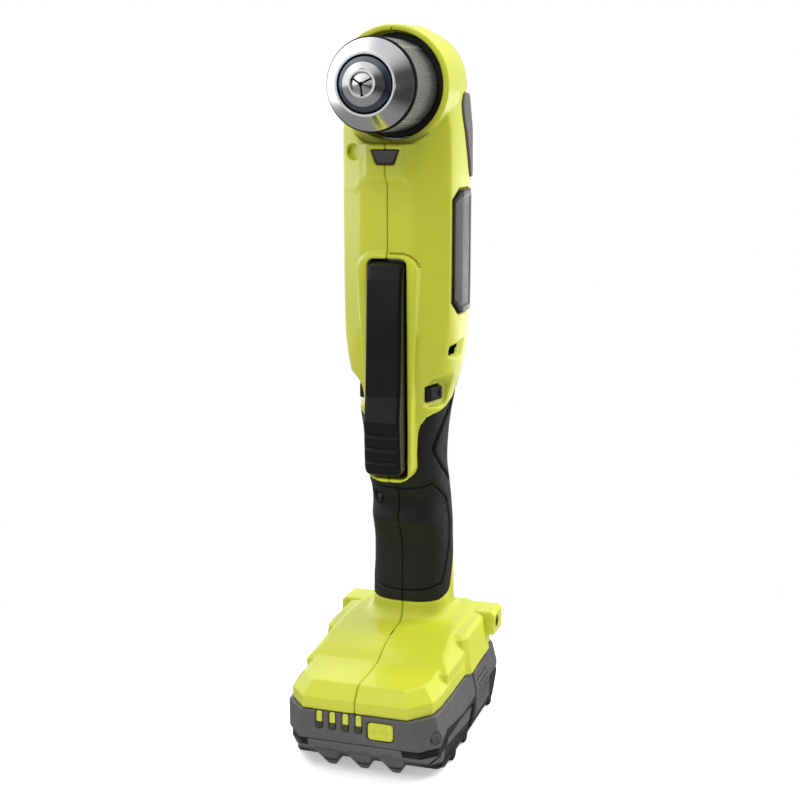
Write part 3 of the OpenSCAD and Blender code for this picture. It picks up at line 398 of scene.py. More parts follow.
# Foot outlines in plan, each as its half on the right
DECK_LOW = [(24.5, -57), (33.4, -47), (34.7, -38), (34.8, 48), (29, 57)]
DECK_LOW_TOP = [(21, -51), (28, -43.5), (29.5, -36), (29.5, 46), (26, 52)]
DECK_REAR = [(34.4, -27), (34.6, -20), (34.8, 48), (29, 57)]
DECK_REAR_TOP = [(24.5, -10), (28, -5), (28, 46), (22, 52)]
WING_LEVELS = [(1, [(30, -1), (35, 0.5), (37.6, 4), (37, 39), (30, 44)]),
               (17.6, [(29, -2), (33.5, 1), (35.1, 5), (35.1, 34.5), (30, 40)]),
               (19.4, [(22, 0.6), (31.4, 2.6), (33.3, 5.8), (33.3, 33.5), (22, 38)])]
BLOCK_LOW_Z = 39.6
BLOCK_TOP_Z = 51.5
BLOCK_CHAMFER = 1.7


def tier(g, low, top, base_z, shoulder_z, top_z):
    """One storey of the foot: straight up to its shoulder, then leaning in to its top."""
    low, top = both_sides(low), both_sides(top)
    wall = np.maximum(plan_field(g, low), slab(g.z, base_z, shoulder_z + 0.1))
    return np.minimum(wall, tapered(g, 2, low, top, shoulder_z, top_z))


def wing_field(g):
    foot_z, foot = WING_LEVELS[0]
    wing = np.maximum(plan_field(g, foot), slab(g.z, FOOT_Z, FOOT_Z + foot_z + 0.1))
    for (low_z, low), (high_z, high) in zip(WING_LEVELS[:-1], WING_LEVELS[1:]):
        wing = np.minimum(wing, tapered(g, 2, low, high, FOOT_Z + low_z - 0.1, FOOT_Z + high_z))
    return wing


def block_field(g):
    """Accessory block behind a wing, with its upper outer edge chamfered."""
    bar = soft_max(slab(g.y, INSERT_Y - 6, INSERT_Y + 10), slab(g.z, BLOCK_LOW_Z, BLOCK_TOP_Z), 0.9)
    block = soft_max(bar, slab(g.x, 20, BLOCK_OUTER_X), 0.6)
    chamfer = (g.x - BLOCK_OUTER_X + g.z - BLOCK_TOP_Z + BLOCK_CHAMFER)*math.sqrt(0.5)
    return soft_max(block, chamfer, 0.5)


def roof_height(y):
    """Height of the foot's top along its middle, from the front edge back to the neck."""
    places = [-58, -50, -36, -30, -24, -16, -7, 2, 12]
    heights = [44.2, 44.2, 43.9, 44.3, 45.5, 48.3, 50.8, 52, 52.6]
    return np.interp(y, places, heights)


def foot_field(g):
    """Low front deck, raised rear deck, neck, side wings and accessory blocks."""
    low = tier(g, DECK_LOW, DECK_LOW_TOP, FOOT_Z - 10, FOOT_Z + 5.6, FOOT_Z + 12.4)
    rear = tier(g, DECK_REAR, DECK_REAR_TOP, FOOT_Z - 10, FOOT_Z + 11, FOOT_Z + 21.2)
    decks = soft_max(soft_min(low, rear, 1.2), (g.z - roof_height(g.y))*0.95, 1.6)
    foot = soft_min(decks, wing_field(g), 0.5)
    return soft_min(foot, block_field(g), 0.5)


def foot_hollow(g):
    """Space inside the foot that the battery stem passes through."""
    z0 = FOOT_Z
    lower = tapered(g, 2, both_sides([(21, -53), (31, -43), (32, -36), (32, 44), (26, 53)]),
                    both_sides([(18, -47), (26, -38), (26, -30), (26, 32), (22, 48)]), z0 - 1, z0 + 9.2)
    upper = tapered(g, 2, both_sides([(26, -12), (26, 0), (26, 32), (22, 48)]),
                    both_sides([(20, -4), (22, 6), (22, 32), (18, 47)]), z0 - 1, z0 + 18.6)
    well = plan_field(g, both_sides([(8.2, 17.4), (14, 23.5), (14, 36.5), (9.6, 42.5)]))
    return np.minimum(np.minimum(lower, upper), np.maximum(well, slab(g.z, z0 - 1, 66)))


def selector_end(g):
    """Distance out from the slanted end of the selector, which faces a little forward."""
    out, back = SELECTOR_FACING
    return (np.abs(g.x) - SELECTOR_HIGH.x)*out + (g.y - SELECTOR_HIGH.y)*back


def selector_recess(g):
    """Sunk place round the selector, with its floor along the selector's end."""
    low, high = SELECTOR_LOW, SELECTOR_HIGH
    middle = (low.y + high.y)/2 + 0.8
    draft = 0.45*(selector_end(g) + 2)
    around = rounded_bar(g.y[0] - middle, g.z[0], 8, low.z - 2.4, high.z + 2.6, 3)[None] - draft
    return np.maximum(around, -(selector_end(g) + 2))


def selector_slot(g):
    return box_field(g, (-1, 1.1, 162.8), (60, 11.4, 170))


VENT_SLOT = [(5.6, 184.2), (5.6, 188.4), (15.4, 188.4), (15.4, 184.2)]
VENT_MOUTH = [(4.6, 181), (4.4, 189.5), (29, 191.5), (27, 180)]


def vent_scoop(g):
    """An air slot through the side wall, in a scoop that widens outward."""
    slot = box_field(g, (10, *VENT_SLOT[0]), (30, *VENT_SLOT[2]))
    return np.minimum(slot, tapered(g, 0, VENT_SLOT, VENT_MOUTH, 24, 28.6))


def collar_clearance(g):
    return np.maximum(chuck_radius(g) - COLLAR_R - 0.7, g.y - COLLAR_Y)


def chuck_recess(g):
    return np.maximum(chuck_radius(g) - RECESS_R, g.y - 3.0)


def paddle_opening(g):
    return np.maximum(front_bar(g, 0, PADDLE_HALF + 0.6, 128, 229.6, 3), g.y - 5.5)


def lens_pocket(g):
    return np.maximum(front_field(g, LENS_POCKET), g.y + 10.5)


def insert_hole(g):
    return np.maximum(cross_rod(g, (INSERT_Y, INSERT_Z), INSERT_R), 18 - g.x)


def screw_pocket(g, place):
    return np.maximum(cross_rod(g, place, SCREW_POCKET_R), SCREW_SEAT_X - g.x)


def head_pocket(g):
    """Wide, shallow pocket in the facet beside the work light."""
    across = (g.x - HEAD_POCKET_X)/HEAD_POCKET_STRETCH
    hole = np.hypot(across, g.z - SCREWS[0][1] - 0.4) - HEAD_POCKET_R
    return np.maximum(hole, -(facet_plane(g) + HEAD_POCKET_DEPTH))


def add_body_features(field, g):
    """Everything that stands proud of the plain body, and the foot."""
    edit(field, g, (-5, -20, 160), (26, 6, 280), lambda f, l: np.minimum(f, panel_field(l)))
    carve(field, g, (-5, -20, 255), (40, 8, 340), collar_clearance, 0.4)
    add_on(field, g, (-5, -20, 120), (20, 16, 240), rim_field, 1.6)
    add_on(field, g, (-5, -20, 250), (26, 4, 284), led_block_field, 1.2)
    add_on(field, g, (-5, -20, 270), (40, 16, 336), collar_field, 0.5)
    np.maximum(field, g.z - TOP_Z, out=field)
    add_on(field, g, *FOOT_SPACE, foot_field, 6)
    edit(field, g, *FOOT_SPACE, lambda f, l: np.maximum(f, FOOT_Z - l.z))


def cut_openings(field, g):
    carve(field, g, (-5, -20, 270), (40, 8, 340), chuck_recess, 0.7)
    carve(field, g, (-5, -30, 120), (14, 10, 236), paddle_opening, 0.9)
    carve(field, g, *SELECTOR_SPACE, selector_recess, 1.2)
    carve(field, g, *SELECTOR_SPACE, selector_slot, 0.6)
    carve(field, g, (10, 0, 175), (40, 40, 196), vent_scoop, 0.7)
    carve(field, g, (-5, -20, 268), (10, -5, 281), lens_pocket, 0.6)
    carve(field, g, (18, 36, 38), (60, 50, 52), insert_hole, 0.6)


def inner_space(g, outer):
    """The hollow inside the shell, with the screw bosses left standing in it."""
    wall = WALL + (GRIP_T - 0.2)*np.clip((186 - g.z)/18, 0, 1)
    hollow = np.maximum(np.maximum(outer + wall, 56.5 - g.z), g.z - DOME_TOP_Z + WALL + 1)
    edit(hollow, g, (-5, -20, 255), (60, 9, 340),
         lambda f, l: np.maximum(f, COLLAR_R + 1.5 - chuck_radius(l)))
    edit(hollow, g, (-5, 0, 270), (60, 30, 336),
         lambda f, l: np.minimum(f, np.maximum(chuck_radius(l) - 22.9, slab(l.y, 2.5, 27))))
    edit(hollow, g, *FOOT_SPACE, lambda f, l: np.minimum(f, foot_hollow(l)))
    edit(hollow, g, *SELECTOR_SPACE, lambda f, l: np.maximum(f, 0.9 - selector_recess(l)))
    for y, z in SCREWS:
        edit(hollow, g, (-5, y - 8, z - 8), (60, y + 8, z + 8),
             lambda f, l: np.maximum(f, -cross_rod(l, (y, z), BOSS_R)))
    return hollow


def housing_field():
    """The right half as a field, and the grid it is sampled on. The left half is its mirror image."""
    g = make_grid((-0.5, -58.2, FOOT_Z - 0.8), (41.4, 58.6, DOME_TOP_Z + 1.6), 0.55)
    outer = body_field(g)
    field = np.minimum(outer + GRIP_T, cut_away(outer, side_field(g, GRIP_OUTLINE), 0.7))
    field = np.maximum(field, 55 - g.z)
    add_body_features(field, g)
    for outline in (BADGE_OUTLINE, BUMPER_OUTLINE):
        field = cut_away(field, np.maximum(side_field(g, outline) - 0.25, -(outer + 0.9)), 0.5)
    cut_openings(field, g)
    field = np.maximum(field, -inner_space(g, outer))
    return g, soft_max(field, SEAM_GAP - g.x, 0.5)


def cut_screw_pockets(field, g):
    for y, z in SCREWS[1:]:
        carve(field, g, (SCREW_SEAT_X - 3, y - 6, z - 6), (60, y + 6, z + 6),
              lambda l: screw_pocket(l, (y, z)), 0.7)
    carve(field, g, (5, -20, 266), (30, 12, 286), head_pocket, 0.5)


def new_object(name, mesh):
    piece = bpy.data.objects.new(name, mesh)
    bpy.context.scene.collection.objects.link(piece)
    return piece


def mesh_of(name, points, faces):
    """A smooth mesh from points in millimetres."""
    mesh = bpy.data.meshes.new(name)
    mesh.from_pydata(np.asarray(points, float)*MM, [], faces)
    mesh.update()
    mesh.shade_smooth()
    return mesh


def piece_from_field(name, g, field, mirror=False):
    """Polygons at the zero level of a field."""
    volume = openvdb.FloatGrid(3*g.step)
    volume.copyFromArray(np.ascontiguousarray(np.clip(field, -3*g.step, 3*g.step), dtype=np.float32))
    points, triangles, quads = volume.convertToPolygons(isovalue=0.0, adaptivity=0.0)
    points = points*g.step + np.array([axis[0] for axis in g.axes])
    if mirror:
        points = points*np.array([-1, 1, 1])
    else:
        quads, triangles = quads[:, ::-1], triangles[:, ::-1]
    mesh = mesh_of(name, points, list(map(tuple, quads.tolist())) + list(map(tuple, triangles.tolist())))
    return new_object(name, mesh)


def rubber_grooves(y, z):
    """Depth of the panel line and the swept groove, in millimetres."""
    panel = outline_field(y, z, GRIP_PANEL)
    line = np.clip(1.5*(1 - np.abs(panel)/0.75), 0, 1)
    sweep = 1.3*np.clip(-outline_field(y, z, CHEVRON)/1.1, 0, 1)
    return np.maximum(line, sweep)


def rubber_field():
    """The right half of the rubber on the handle, with its panel line, ribs and swept groove."""
    g = make_grid((-0.5, -8, 60.4), (26.6, 58.4, 200), 0.4)
    outer = body_field(g)
    y, z = g.y[0], g.z[0]
    panel = outline_field(y, z, GRIP_PANEL)
    rib = 0.5 + 0.5*np.cos(2*math.pi*z/RUBBER_RIB)
    on_side = np.clip((y - 13)/8, 0, 1)*np.clip((z - 69)/4, 0, 1)*np.clip((118 - z)/5, 0, 1)
    relief = 0.45*rib*on_side*np.clip(-panel - 1, 0, 1)
    seat = 0.3*np.clip(-panel/0.6, 0, 1)
    skin = outer + np.maximum(relief + seat, rubber_grooves(y, z))[None]
    field = soft_max(skin, -(outer + GRIP_T - 0.1), 0.4)
    field = soft_max(field, side_field(g, GRIP_OUTLINE) + 0.2, 0.8)
    paddle_room = ((-20, -30, 128), (PADDLE_HALF + 0.6, 5.5, 229.6))
    carve(field, g, (-5, -20, 118), (20, 16, 202), lambda l: rim_field(l) - 0.2, 0.7)
    carve(field, g, (-5, -20, 120), (14, 10, 202), lambda l: box_field(l, *paddle_room), 0.5)
    carve(field, g, *SELECTOR_SPACE, lambda l: selector_recess(l) - 0.3, 0.6)
    return g, soft_max(field, SEAM_GAP - g.x, 0.6)


def bumper_field():
    g = make_grid((-30, 15.5, 262.5), (30, 58.8, 302.5), 0.5)
    outer = body_field(g)
    skin = soft_max(outer - 0.9, -(outer + 0.7), 0.4)
    field = soft_max(skin, side_field(g, BUMPER_OUTLINE) + 0.1, 1.6)
    hole = np.maximum(cross_rod(g, SCREWS[1], SCREW_POCKET_R + 0.1), g.x + SCREW_SEAT_X)
    return g, cut_away(field, hole, 0.6)


def badge_field(g, outer):
    """A bare plate: a wide bevel along its front, and a sunk field inside its frame."""
    plate = side_field(g, BADGE_OUTLINE)
    rise = np.clip(0.2*(g.y - 7.4), -0.3, BADGE_PROUD)
    field = soft_max(soft_max(outer - rise, -(outer + 0.75), 0.3), plate + 0.05, 0.7)
    return cut_away(field, np.maximum(plate + 3.4, -(outer - rise + 0.4)), 0.4)


PADDLE_SIDE = [(-10.4, 229), (-14, 227), (-15.6, 221), (-16.6, 202), (-17.2, 187), (-18.4, 168),
               (-19.5, 161), (-20.2, 156.5), (-20.1, 153), (-19.7, 146), (-19.3, 139), (-18.9, 135),
               (-17.8, 131.9), (-15.4, 130.4), (-8.5, 130.4), (-7.4, 150), (-6.4, 190), (-5.4, 213),
               (-0.8, 218), (-0.4, 223.5), (-2, 227)]
PADDLE_GROOVES = [(-19.95, 150.4), (-19.6, 144.2), (-19.2, 138)]
PADDLE_PIN = (-3.5, 221.5)
PADDLE_PIN_R = 1.53


def paddle_field():
    g = make_grid((-10, -21.2, 127.6), (10, 1, 230.6), 0.4)
    crown = 0.014*g.x*g.x
    side = outline_field(g.y - crown, g.z, PADDLE_SIDE)
    field = soft_max(side, front_bar(g, 0, PADDLE_HALF, 130, 229.4, 4), 2.0)
    for y, z in PADDLE_GROOVES:
        field = cut_away(field, np.hypot(g.y - crown - y, (g.z - z)*1.3) - 0.9, 0.5)
    return g, np.maximum(field, -cross_rod(g, PADDLE_PIN, PADDLE_PIN_R))


def selector_field():
    low, high = SELECTOR_LOW, SELECTOR_HIGH
    g = grid_round(low, high, 0.8, 0.3)
    bar = soft_max(slab(g.y, low.y, high.y), slab(g.z, low.z, high.z), 0.9)
    middle = (low.z + high.z)/2
    arrow = side_field(g, [(5, middle), (8.4, middle + 1.8), (8.4, middle - 1.8)])
    field = soft_max(bar, selector_end(g), 0.9)
    return g, cut_away(field, np.maximum(arrow, -(selector_end(g) + 0.5)), 0.3)


def lens_field():
    g = make_grid((-7.2, -13.4, 270.6), (7.2, -10.2, 278.6), 0.22)
    return g, soft_max(front_field(g, LENS) - 0.75, slab(g.y, LED_FACE_Y + 0.15, -10.7), 0.7)


# The left front corner of the pack is cut back further than the right one
PACK_OUTLINE = [(30, PACK_FRONT_Y), (PACK_HALF, -49.5), (PACK_HALF, -38), (PACK_HALF, 51), (31, PACK_BACK_Y),
                (-31, PACK_BACK_Y), (-PACK_HALF, 51), (-PACK_HALF, -39.5), (-34.6, -48), (-26, PACK_FRONT_Y)]
PACK_TOP_OUTLINE = both_sides([(25, PACK_FRONT_Y), (34.8, -48), (35.8, -38), (35.8, 50), (30, PACK_BACK_Y)])
PACK_INNER = [(29, -55.8), (35.8, -48.6), (35.8, -38), (35.8, 50.8), (30.4, 55.8),
              (-30.4, 55.8), (-35.8, 50.8), (-35.8, -40), (-33.4, -46.9), (-25.2, -56.2)]
PACK_TOP_INNER = both_sides([(24, PACK_FRONT_Y + 2.2), (32.4, -47.2), (33.4, -38), (33.4, 50),
                             (29, PACK_BACK_Y - 2.2)])
PACK_LEAN_Z = 22
BASE_OUTLINE = both_sides([(33.5, -39.5), (36, -36), (36, -30), (36, 51), (31, 56.5)])
BASE_INNER = both_sides([(31.5, -37), (34, -34), (34, -30), (33.8, 49.5), (29.5, 54)])
STEM_OUTLINE = both_sides([(6.6, 18), (12.4, 24), (12.4, 33), (8, 38.4)])
STEM_INNER = both_sides([(6.2, 18.9), (11.5, 24.2), (11.5, 32.8), (7.6, 37.5)])
WINDOW_X = [-16.5, -10.3, -4.1, 2.1]
WINDOW_HALF = 1.5
WINDOW_LOW_Z = 23.5
BLADE_X = [-8, -3, 3, 8]
DOT_PITCH = 2.6
SIDE_PLACE_DEPTH = 1.0
SIDE_INNER_X = 28


def latch_pocket(g):
    return np.maximum(np.maximum(slab(g.y, LATCH_LOW.y - 0.5, LATCH_HIGH.y + 0.4),
                                 slab(g.z, LATCH_LOW.z - 0.4, LATCH_HIGH.z + 0.4)), 29.1 - np.abs(g.x))


def leaning_case(g, low, top, base_z, top_z):
    """Straight walls up to the lean, then walls that lean in to the top."""
    walls = np.maximum(plan_field(g, low), slab(g.z, base_z, PACK_LEAN_Z + 0.1))
    return np.minimum(walls, tapered(g, 2, low, top, PACK_LEAN_Z, top_z))


def band_edge(y):
    """Height of the lower edge of the grey band along the side."""
    return np.interp(y, [-52, -46, -39, 8.7], [16.2, 19.5, 22, 15.6])


def side_place(y, z):
    """The sunk dark place under the band on each side, seen from the side."""
    return np.maximum(slab(y, -48, 7.9), np.maximum(z - band_edge(y), 3.4 - z))


def sink_side(field, walls, g):
    """Sink the side place into a form, to an even depth under its walls."""
    place = np.maximum(side_place(g.y[0], g.z[0])[None], SIDE_INNER_X - np.abs(g.x))
    return cut_away(field, np.maximum(place, -(walls + SIDE_PLACE_DEPTH)), 0.4)


def gauge_place(g, centre, half, low_z, high_z, corner, depth):
    """A sunk place on the front of the pack."""
    return np.maximum(front_bar(g, centre, half, low_z, high_z, corner), g.y - PACK_FRONT_Y - depth)


def cut_gauge_places(field, g):
    """Room on the front for the charge windows and their button."""
    front, back = PACK_FRONT_Y - 1, PACK_FRONT_Y + 8
    for x in WINDOW_X:
        carve(field, g, (x - 3, front, 20), (x + 3, back, 34),
              lambda l: gauge_place(l, x, WINDOW_HALF + 0.3, WINDOW_LOW_Z - 0.4, FOOT_Z + 4, 1.4, 1.2), 0.6)
    low, high = BUTTON_LOW, BUTTON_HIGH
    centre, half = (low.x + high.x)/2, (high.x - low.x)/2 + 0.35
    carve(field, g, (2, front, 18), (24, back, 33),
          lambda l: gauge_place(l, centre, half, low.z - 0.35, high.z + 0.35, 2, 4), 0.6)


def battery_top_field():
    g = make_grid((-PACK_HALF - 1, PACK_FRONT_Y - 1, PACK_SPLIT_Z - 1),
                  (PACK_HALF + 1, PACK_BACK_Y + 1, STEM_TOP_Z + 1), 0.55)
    case = leaning_case(g, PACK_OUTLINE, PACK_TOP_OUTLINE, 0, FOOT_Z)
    case = soft_max(case, slab(g.z, PACK_SPLIT_Z, FOOT_Z), 0.9)
    case = sink_side(case, plan_field(g, PACK_OUTLINE), g)
    stem = soft_max(plan_field(g, STEM_OUTLINE), slab(g.z, FOOT_Z - 1, STEM_TOP_Z), 1)
    inner = np.minimum(leaning_case(g, PACK_INNER, PACK_TOP_INNER, 0, FOOT_Z - 2),
                       np.maximum(plan_field(g, STEM_INNER), g.z - STEM_TOP_Z + 1.6))
    field = np.maximum(np.minimum(case, stem), -inner)
    for x in BLADE_X:
        slot = ((x - 0.9, 21, STEM_TOP_Z - 4), (x + 0.9, 31, STEM_TOP_Z + 2))
        edit(field, g, (x - 3, 18, 108), (x + 3, 34, 120),
             lambda f, l: np.maximum(f, -box_field(l, *slot)))
    cut_gauge_places(field, g)
    return g, cut_away(cut_plug_ring(field, g), latch_pocket(g), 0.7)


PLUG = Vector((36.2, -50.8, 22.6))
PLUG_R = 2.6
PLUG_ACROSS = (0.688, 0.726)


def plug_distance(x, y, z):
    """Distance from the axis of the round plug on the right front corner."""
    along = (x - PLUG.x)*PLUG_ACROSS[0] + (y - PLUG.y)*PLUG_ACROSS[1]
    return np.hypot(along, z - PLUG.z)


def cut_plug_ring(field, g):
    ring = np.abs(plug_distance(g.x, g.y, g.z) - PLUG_R) - 0.3
    return cut_away(field, np.maximum(np.maximum(ring, 20 - g.x), -(field + 0.8)), 0.4)


FRONT_FEET_X = [-15.4, 0, 15.4]
BUMPER_HALF = 22.2
GAP_LOW_Z = 14.2
SIDE_FEET_Y = [-22, -2, 44]


def label_plates(y, z):
    """A long plate along the band and a small one in front of it, both bare."""
    edge = band_edge(y)
    high = np.minimum(edge, PACK_SPLIT_Z) - 1.2
    long_plate = np.maximum(slab(y, -37, 5), slab(z, edge - 8.2, high))
    small_plate = rounded_bar(y + 42.5, z, 3.4, 7, 13.4, 0.8)
    return np.minimum(long_plate, small_plate)


def battery_feet(g):
    """Wedges along the front and back, then small feet under the sides, one after another."""
    for x in FRONT_FEET_X:
        for way in (1, -1):
            slope = (-44 - way*g.y - 0.8*g.z)*0.78
            wedge = soft_max(np.abs(g.x - x) - 1.8 - 0.42*g.z, slope, 1)
            yield np.maximum(soft_max(wedge, slab(g.z, 0, 11), 1), way*g.y + 26)
    for y in SIDE_FEET_Y:
        post = soft_max(np.abs(g.y - y) - 2.4 - 0.3*g.z, slab(np.abs(g.x), 26, 36.6), 1.2)
        yield soft_max(post, slab(g.z, 0, 9), 1)


def battery_base_field():
    floor_z = 2.4
    g = make_grid((-PACK_HALF - 1, PACK_FRONT_Y - 1, -0.9),
                  (PACK_HALF + 1, PACK_BACK_Y + 1, PACK_SPLIT_Z + 1), 0.5)
    walls = leaning_walls(g, 2, BASE_OUTLINE, PACK_OUTLINE, floor_z, PACK_SPLIT_Z - 2.5)
    shell = soft_max(walls, slab(g.z, floor_z, PACK_SPLIT_Z), 0.6)
    for foot in battery_feet(g):
        shell = soft_min(shell, foot, 0.8)
    inner = tapered(g, 2, BASE_INNER, PACK_INNER, floor_z + 2, PACK_SPLIT_Z - 1)
    mouth = np.maximum(plan_field(g, PACK_INNER), slab(g.z, PACK_SPLIT_Z - 1.1, PACK_SPLIT_Z + 2))
    inner = np.minimum(inner, mouth)

    # A gap under the case beside the bumper, and bare label plates in the side places
    gap = np.maximum(BUMPER_HALF - np.abs(g.x), g.y + 42)
    gap = np.maximum(gap, slab(g.z, GAP_LOW_Z, PACK_SPLIT_Z + 1))
    shell = cut_away(shell, np.maximum(gap, -(walls + 1.1)), 0.4)
    outer_side = np.maximum(walls + 0.45, SIDE_INNER_X - np.abs(g.x))
    plates = np.maximum(label_plates(g.y[0], g.z[0])[None], outer_side)
    shell = np.minimum(sink_side(shell, walls, g), plates)
    return g, cut_away(np.maximum(shell, -inner), latch_pocket(g), 0.7)


def latch_field():
    """A press button with a field of small dimples."""
    low, high = LATCH_LOW, LATCH_HIGH
    g = grid_round(low, high, 0.8, 0.35)
    front = front_field(g, [(low.x, low.z), (high.x - 1.4, low.z), (high.x, low.z + 3),
                            (high.x, PACK_LEAN_Z), (high.x - 1.9, high.z), (low.x, high.z)])
    field = soft_max(front, slab(g.y, low.y, high.y), 1.0)
    row = np.round((g.z - low.z)/DOT_PITCH)
    stagger = (row % 2)*DOT_PITCH/2
    dot_y = (g.y - low.y + stagger + DOT_PITCH/2) % DOT_PITCH - DOT_PITCH/2
    dot_z = (g.z - low.z + DOT_PITCH/2) % DOT_PITCH - DOT_PITCH/2
    place = np.maximum(slab(g.y, low.y + 3, high.y - 3), slab(g.z, low.z + 5, high.z - 2.5))
    dots = np.maximum(np.hypot(dot_y, dot_z) - 0.75, place)
    return g, cut_away(field, np.maximum(dots, -(front + 0.7)), 0.35)


def window_field():
    g = make_grid((WINDOW_X[0] - 2.5, PACK_FRONT_Y - 0.4, WINDOW_LOW_Z - 1),
                  (WINDOW_X[-1] + 2.5, PACK_FRONT_Y + 2, FOOT_Z + 0.6), 0.25)
    field = np.full([len(axis) for axis in g.axes], 3.0, np.float32)
    for x in WINDOW_X:
        bar = front_bar(g, x, WINDOW_HALF, WINDOW_LOW_Z, FOOT_Z - 0.2, 1.2)
        pane = soft_max(bar, slab(g.y, PACK_FRONT_Y + 0.3, PACK_FRONT_Y + 1.25), 0.8)
        field = np.minimum(field, pane)
    return g, field


def button_field():
    """The press button of the gauge, with a raised outline of a battery."""
    low, high = BUTTON_LOW, BUTTON_HIGH
    g = make_grid((low.x - 0.6, low.y - 0.5, low.z - 0.6), (high.x + 0.6, high.y + 0.6, high.z + 0.6), 0.25)
    middle_x, middle_z = (low.x + high.x)/2, (low.z + high.z)/2
    key = front_bar(g, middle_x, (high.x - low.x)/2, low.z, high.z, 1.8)
    key = soft_max(key, slab(g.y, low.y + 0.35, high.y), 0.8)
    cell = front_bar(g, middle_x - 0.4, 3.1, middle_z - 1.6, middle_z + 1.6, 0.6)
    tip = front_bar(g, middle_x + 3.2, 0.5, middle_z - 0.7, middle_z + 0.7, 0.2)
    icon = np.minimum(np.abs(cell) - 0.3, tip)
    return g, soft_min(key, np.maximum(icon, slab(g.y, low.y + 0.02, low.y + 1)), 0.2)


def lathe(name, profile, segments, ripple=None):
    """A ring turned about the chuck axis from a closed profile of places forward and radii."""
    turn = 2*math.pi*np.arange(segments)/segments
    points = []
    for forward, radius in profile:
        r = radius + (ripple(turn, forward, radius) if ripple else 0*turn)
        points.append(np.stack([r*np.cos(turn), np.full(segments, -forward), CHUCK_Z + r*np.sin(turn)], 1))
    faces = []
    rings = len(profile)
    for i in range(rings):
        j = (i + 1) % rings
        for k in range(segments):
            m = (k + 1) % segments
            faces.append((i*segments + k, j*segments + k, j*segments + m, i*segments + m))
    mesh = mesh_of(name, np.concatenate(points), faces)
    mesh.set_sharp_from_angle(angle=SHARP_ANGLE)
    return new_object(name, mesh)


RIB_COUNT = 120
BAR_ANGLES = np.radians([54, 180, 306])
BAR_HALF_TURN = math.radians(5.2)


def from_bar(turn):
    """Angle to the nearest of the three smooth bars."""
    return np.abs((turn[:, None] - BAR_ANGLES[None, :] + math.pi) % (2*math.pi) - math.pi).min(1)


def sleeve_ripple(turn, forward, radius):
    """Fine ribs along the sleeve, with three smooth bars between them."""
    if radius < SLEEVE_R - 0.15 or not -0.5 < forward < 28.5:
        return 0*turn
    away = from_bar(turn)
    ribs = -0.42*(0.5 - 0.5*np.cos(RIB_COUNT*turn))
    bar = np.clip((BAR_HALF_TURN - away)/math.radians(0.8), 0, 1)
    moat = np.clip(1 - np.abs(away - BAR_HALF_TURN)/math.radians(1.0), 0, 1)
    return ribs*(1 - bar) - 0.5*moat


def make_sleeve():
    r = SLEEVE_R
    profile = [(-1, 18.6), (-1, r - 0.9), (-0.75, r - 0.45), (-0.4, r - 0.1), (28.3, r - 0.1),
               (28.5, r - 0.25), (28.75, r - 0.05), (29, r), (30.5, r), (30.8, r - 0.15),
               (30.95, r - 0.5), (30.95, 17.4), (24, 17.4), (24, 16.5), (15.4, 16.5), (13.6, 18.6)]
    return lathe("chuck_sleeve_ribbed", profile, 6*RIB_COUNT, sleeve_ripple)


def make_nose_ring():
    r = SLEEVE_R
    profile = [(31, 17.4), (31, r - 0.95), (31.15, r - 0.78), (31.5, r - 0.7), (31.9, r - 0.74),
               (32.15, r - 0.95), (38.6, 13.75), (38.9, 13.58), (39.1, 13.48), (39.2, 13.3), (39.2, 12.5),
               (39.1, 12.36), (38.9, 12.3), (37.2, 12.3), (31, 16.4)]
    return lathe("chuck_nose_cone", profile, 192)


CHUCK_FRONT = 43.2
JAW_LEAN = math.radians(15)
GUIDE_R = 3.66
GUIDE_OUT = 2.6
GUIDE_BACK = 48
GUIDE_LENGTH = 60
BODY_PROFILE = [(-2.6, 6.3), (-2.6, 10.4), (-1.2, 11.8), (38.2, 11.8), (38.7, 11.75), (39.4, 11.35),
                (39.6, 11.0), (40.55, 9.6), (40.7, 9.42), (41.2, 9.2), (41.35, 9.0), (43.0, 6.25),
                (43.15, 6.05), (CHUCK_FRONT, 5.8), (CHUCK_FRONT, 5.4), (12, 5.4), (12, 6.3)]
LIP_PROFILE = [(42.3, 5.05), (42.3, 6.2), (43.0, 6.2), (43.2, 5.9), (43.22, 5.7), (43.22, 5.2), (43.1, 5.05)]


def jaw_guide(k):
    """Cutter for one of the three guides that lean in to the front."""
    place = (Matrix.Translation((0, 0, CHUCK_Z*MM)) @ Matrix.Rotation(math.pi/2, 4, "X")
             @ Matrix.Rotation(math.radians(90 + 120*k), 4, "Z")
             @ Matrix.Translation((GUIDE_OUT*MM, 0, CHUCK_FRONT*MM))
             @ Matrix.Rotation(-JAW_LEAN, 4, "Y") @ Matrix.Translation((0, 0, -GUIDE_BACK*MM)))
    return rod_cutter(f"guide_{k}", place, GUIDE_R, GUIDE_LENGTH)


def make_chuck_body():
    """The turned body with its stepped bore, the jaw guides cut from it, and a whole lip at its front."""
    body = lathe("chuck_body_turned", BODY_PROFILE, 160)
    lip = lathe("front_lip", LIP_PROFILE, 160)
    steps = [(jaw_guide(k), "DIFFERENCE") for k in range(3)] + [(lip, "UNION")]
    for helper, operation in steps:
        step = body.modifiers.new(helper.name, "BOOLEAN")
        step.operation = operation
        step.object = helper
        step.solver = "EXACT"
    return bake_modifiers(body, [helper for helper, operation in steps])


def rod_cutter(name, place, radius, length):
    """A round bar from the place along its own Z, in millimetres."""
    sides = 48
    turn = 2*math.pi*np.arange(sides)/sides
    ring = np.stack([radius*np.cos(turn), radius*np.sin(turn), 0*turn], 1)
    points = np.concatenate([ring, ring + [0, 0, length]])
    faces = [tuple(range(sides))[::-1], tuple(range(sides, 2*sides))]
    faces += [(k, (k + 1) % sides, sides + (k + 1) % sides, sides + k) for k in range(sides)]
    cutter = new_object(name, mesh_of(name, points, faces))
    cutter.data.transform(place)
    return cutter


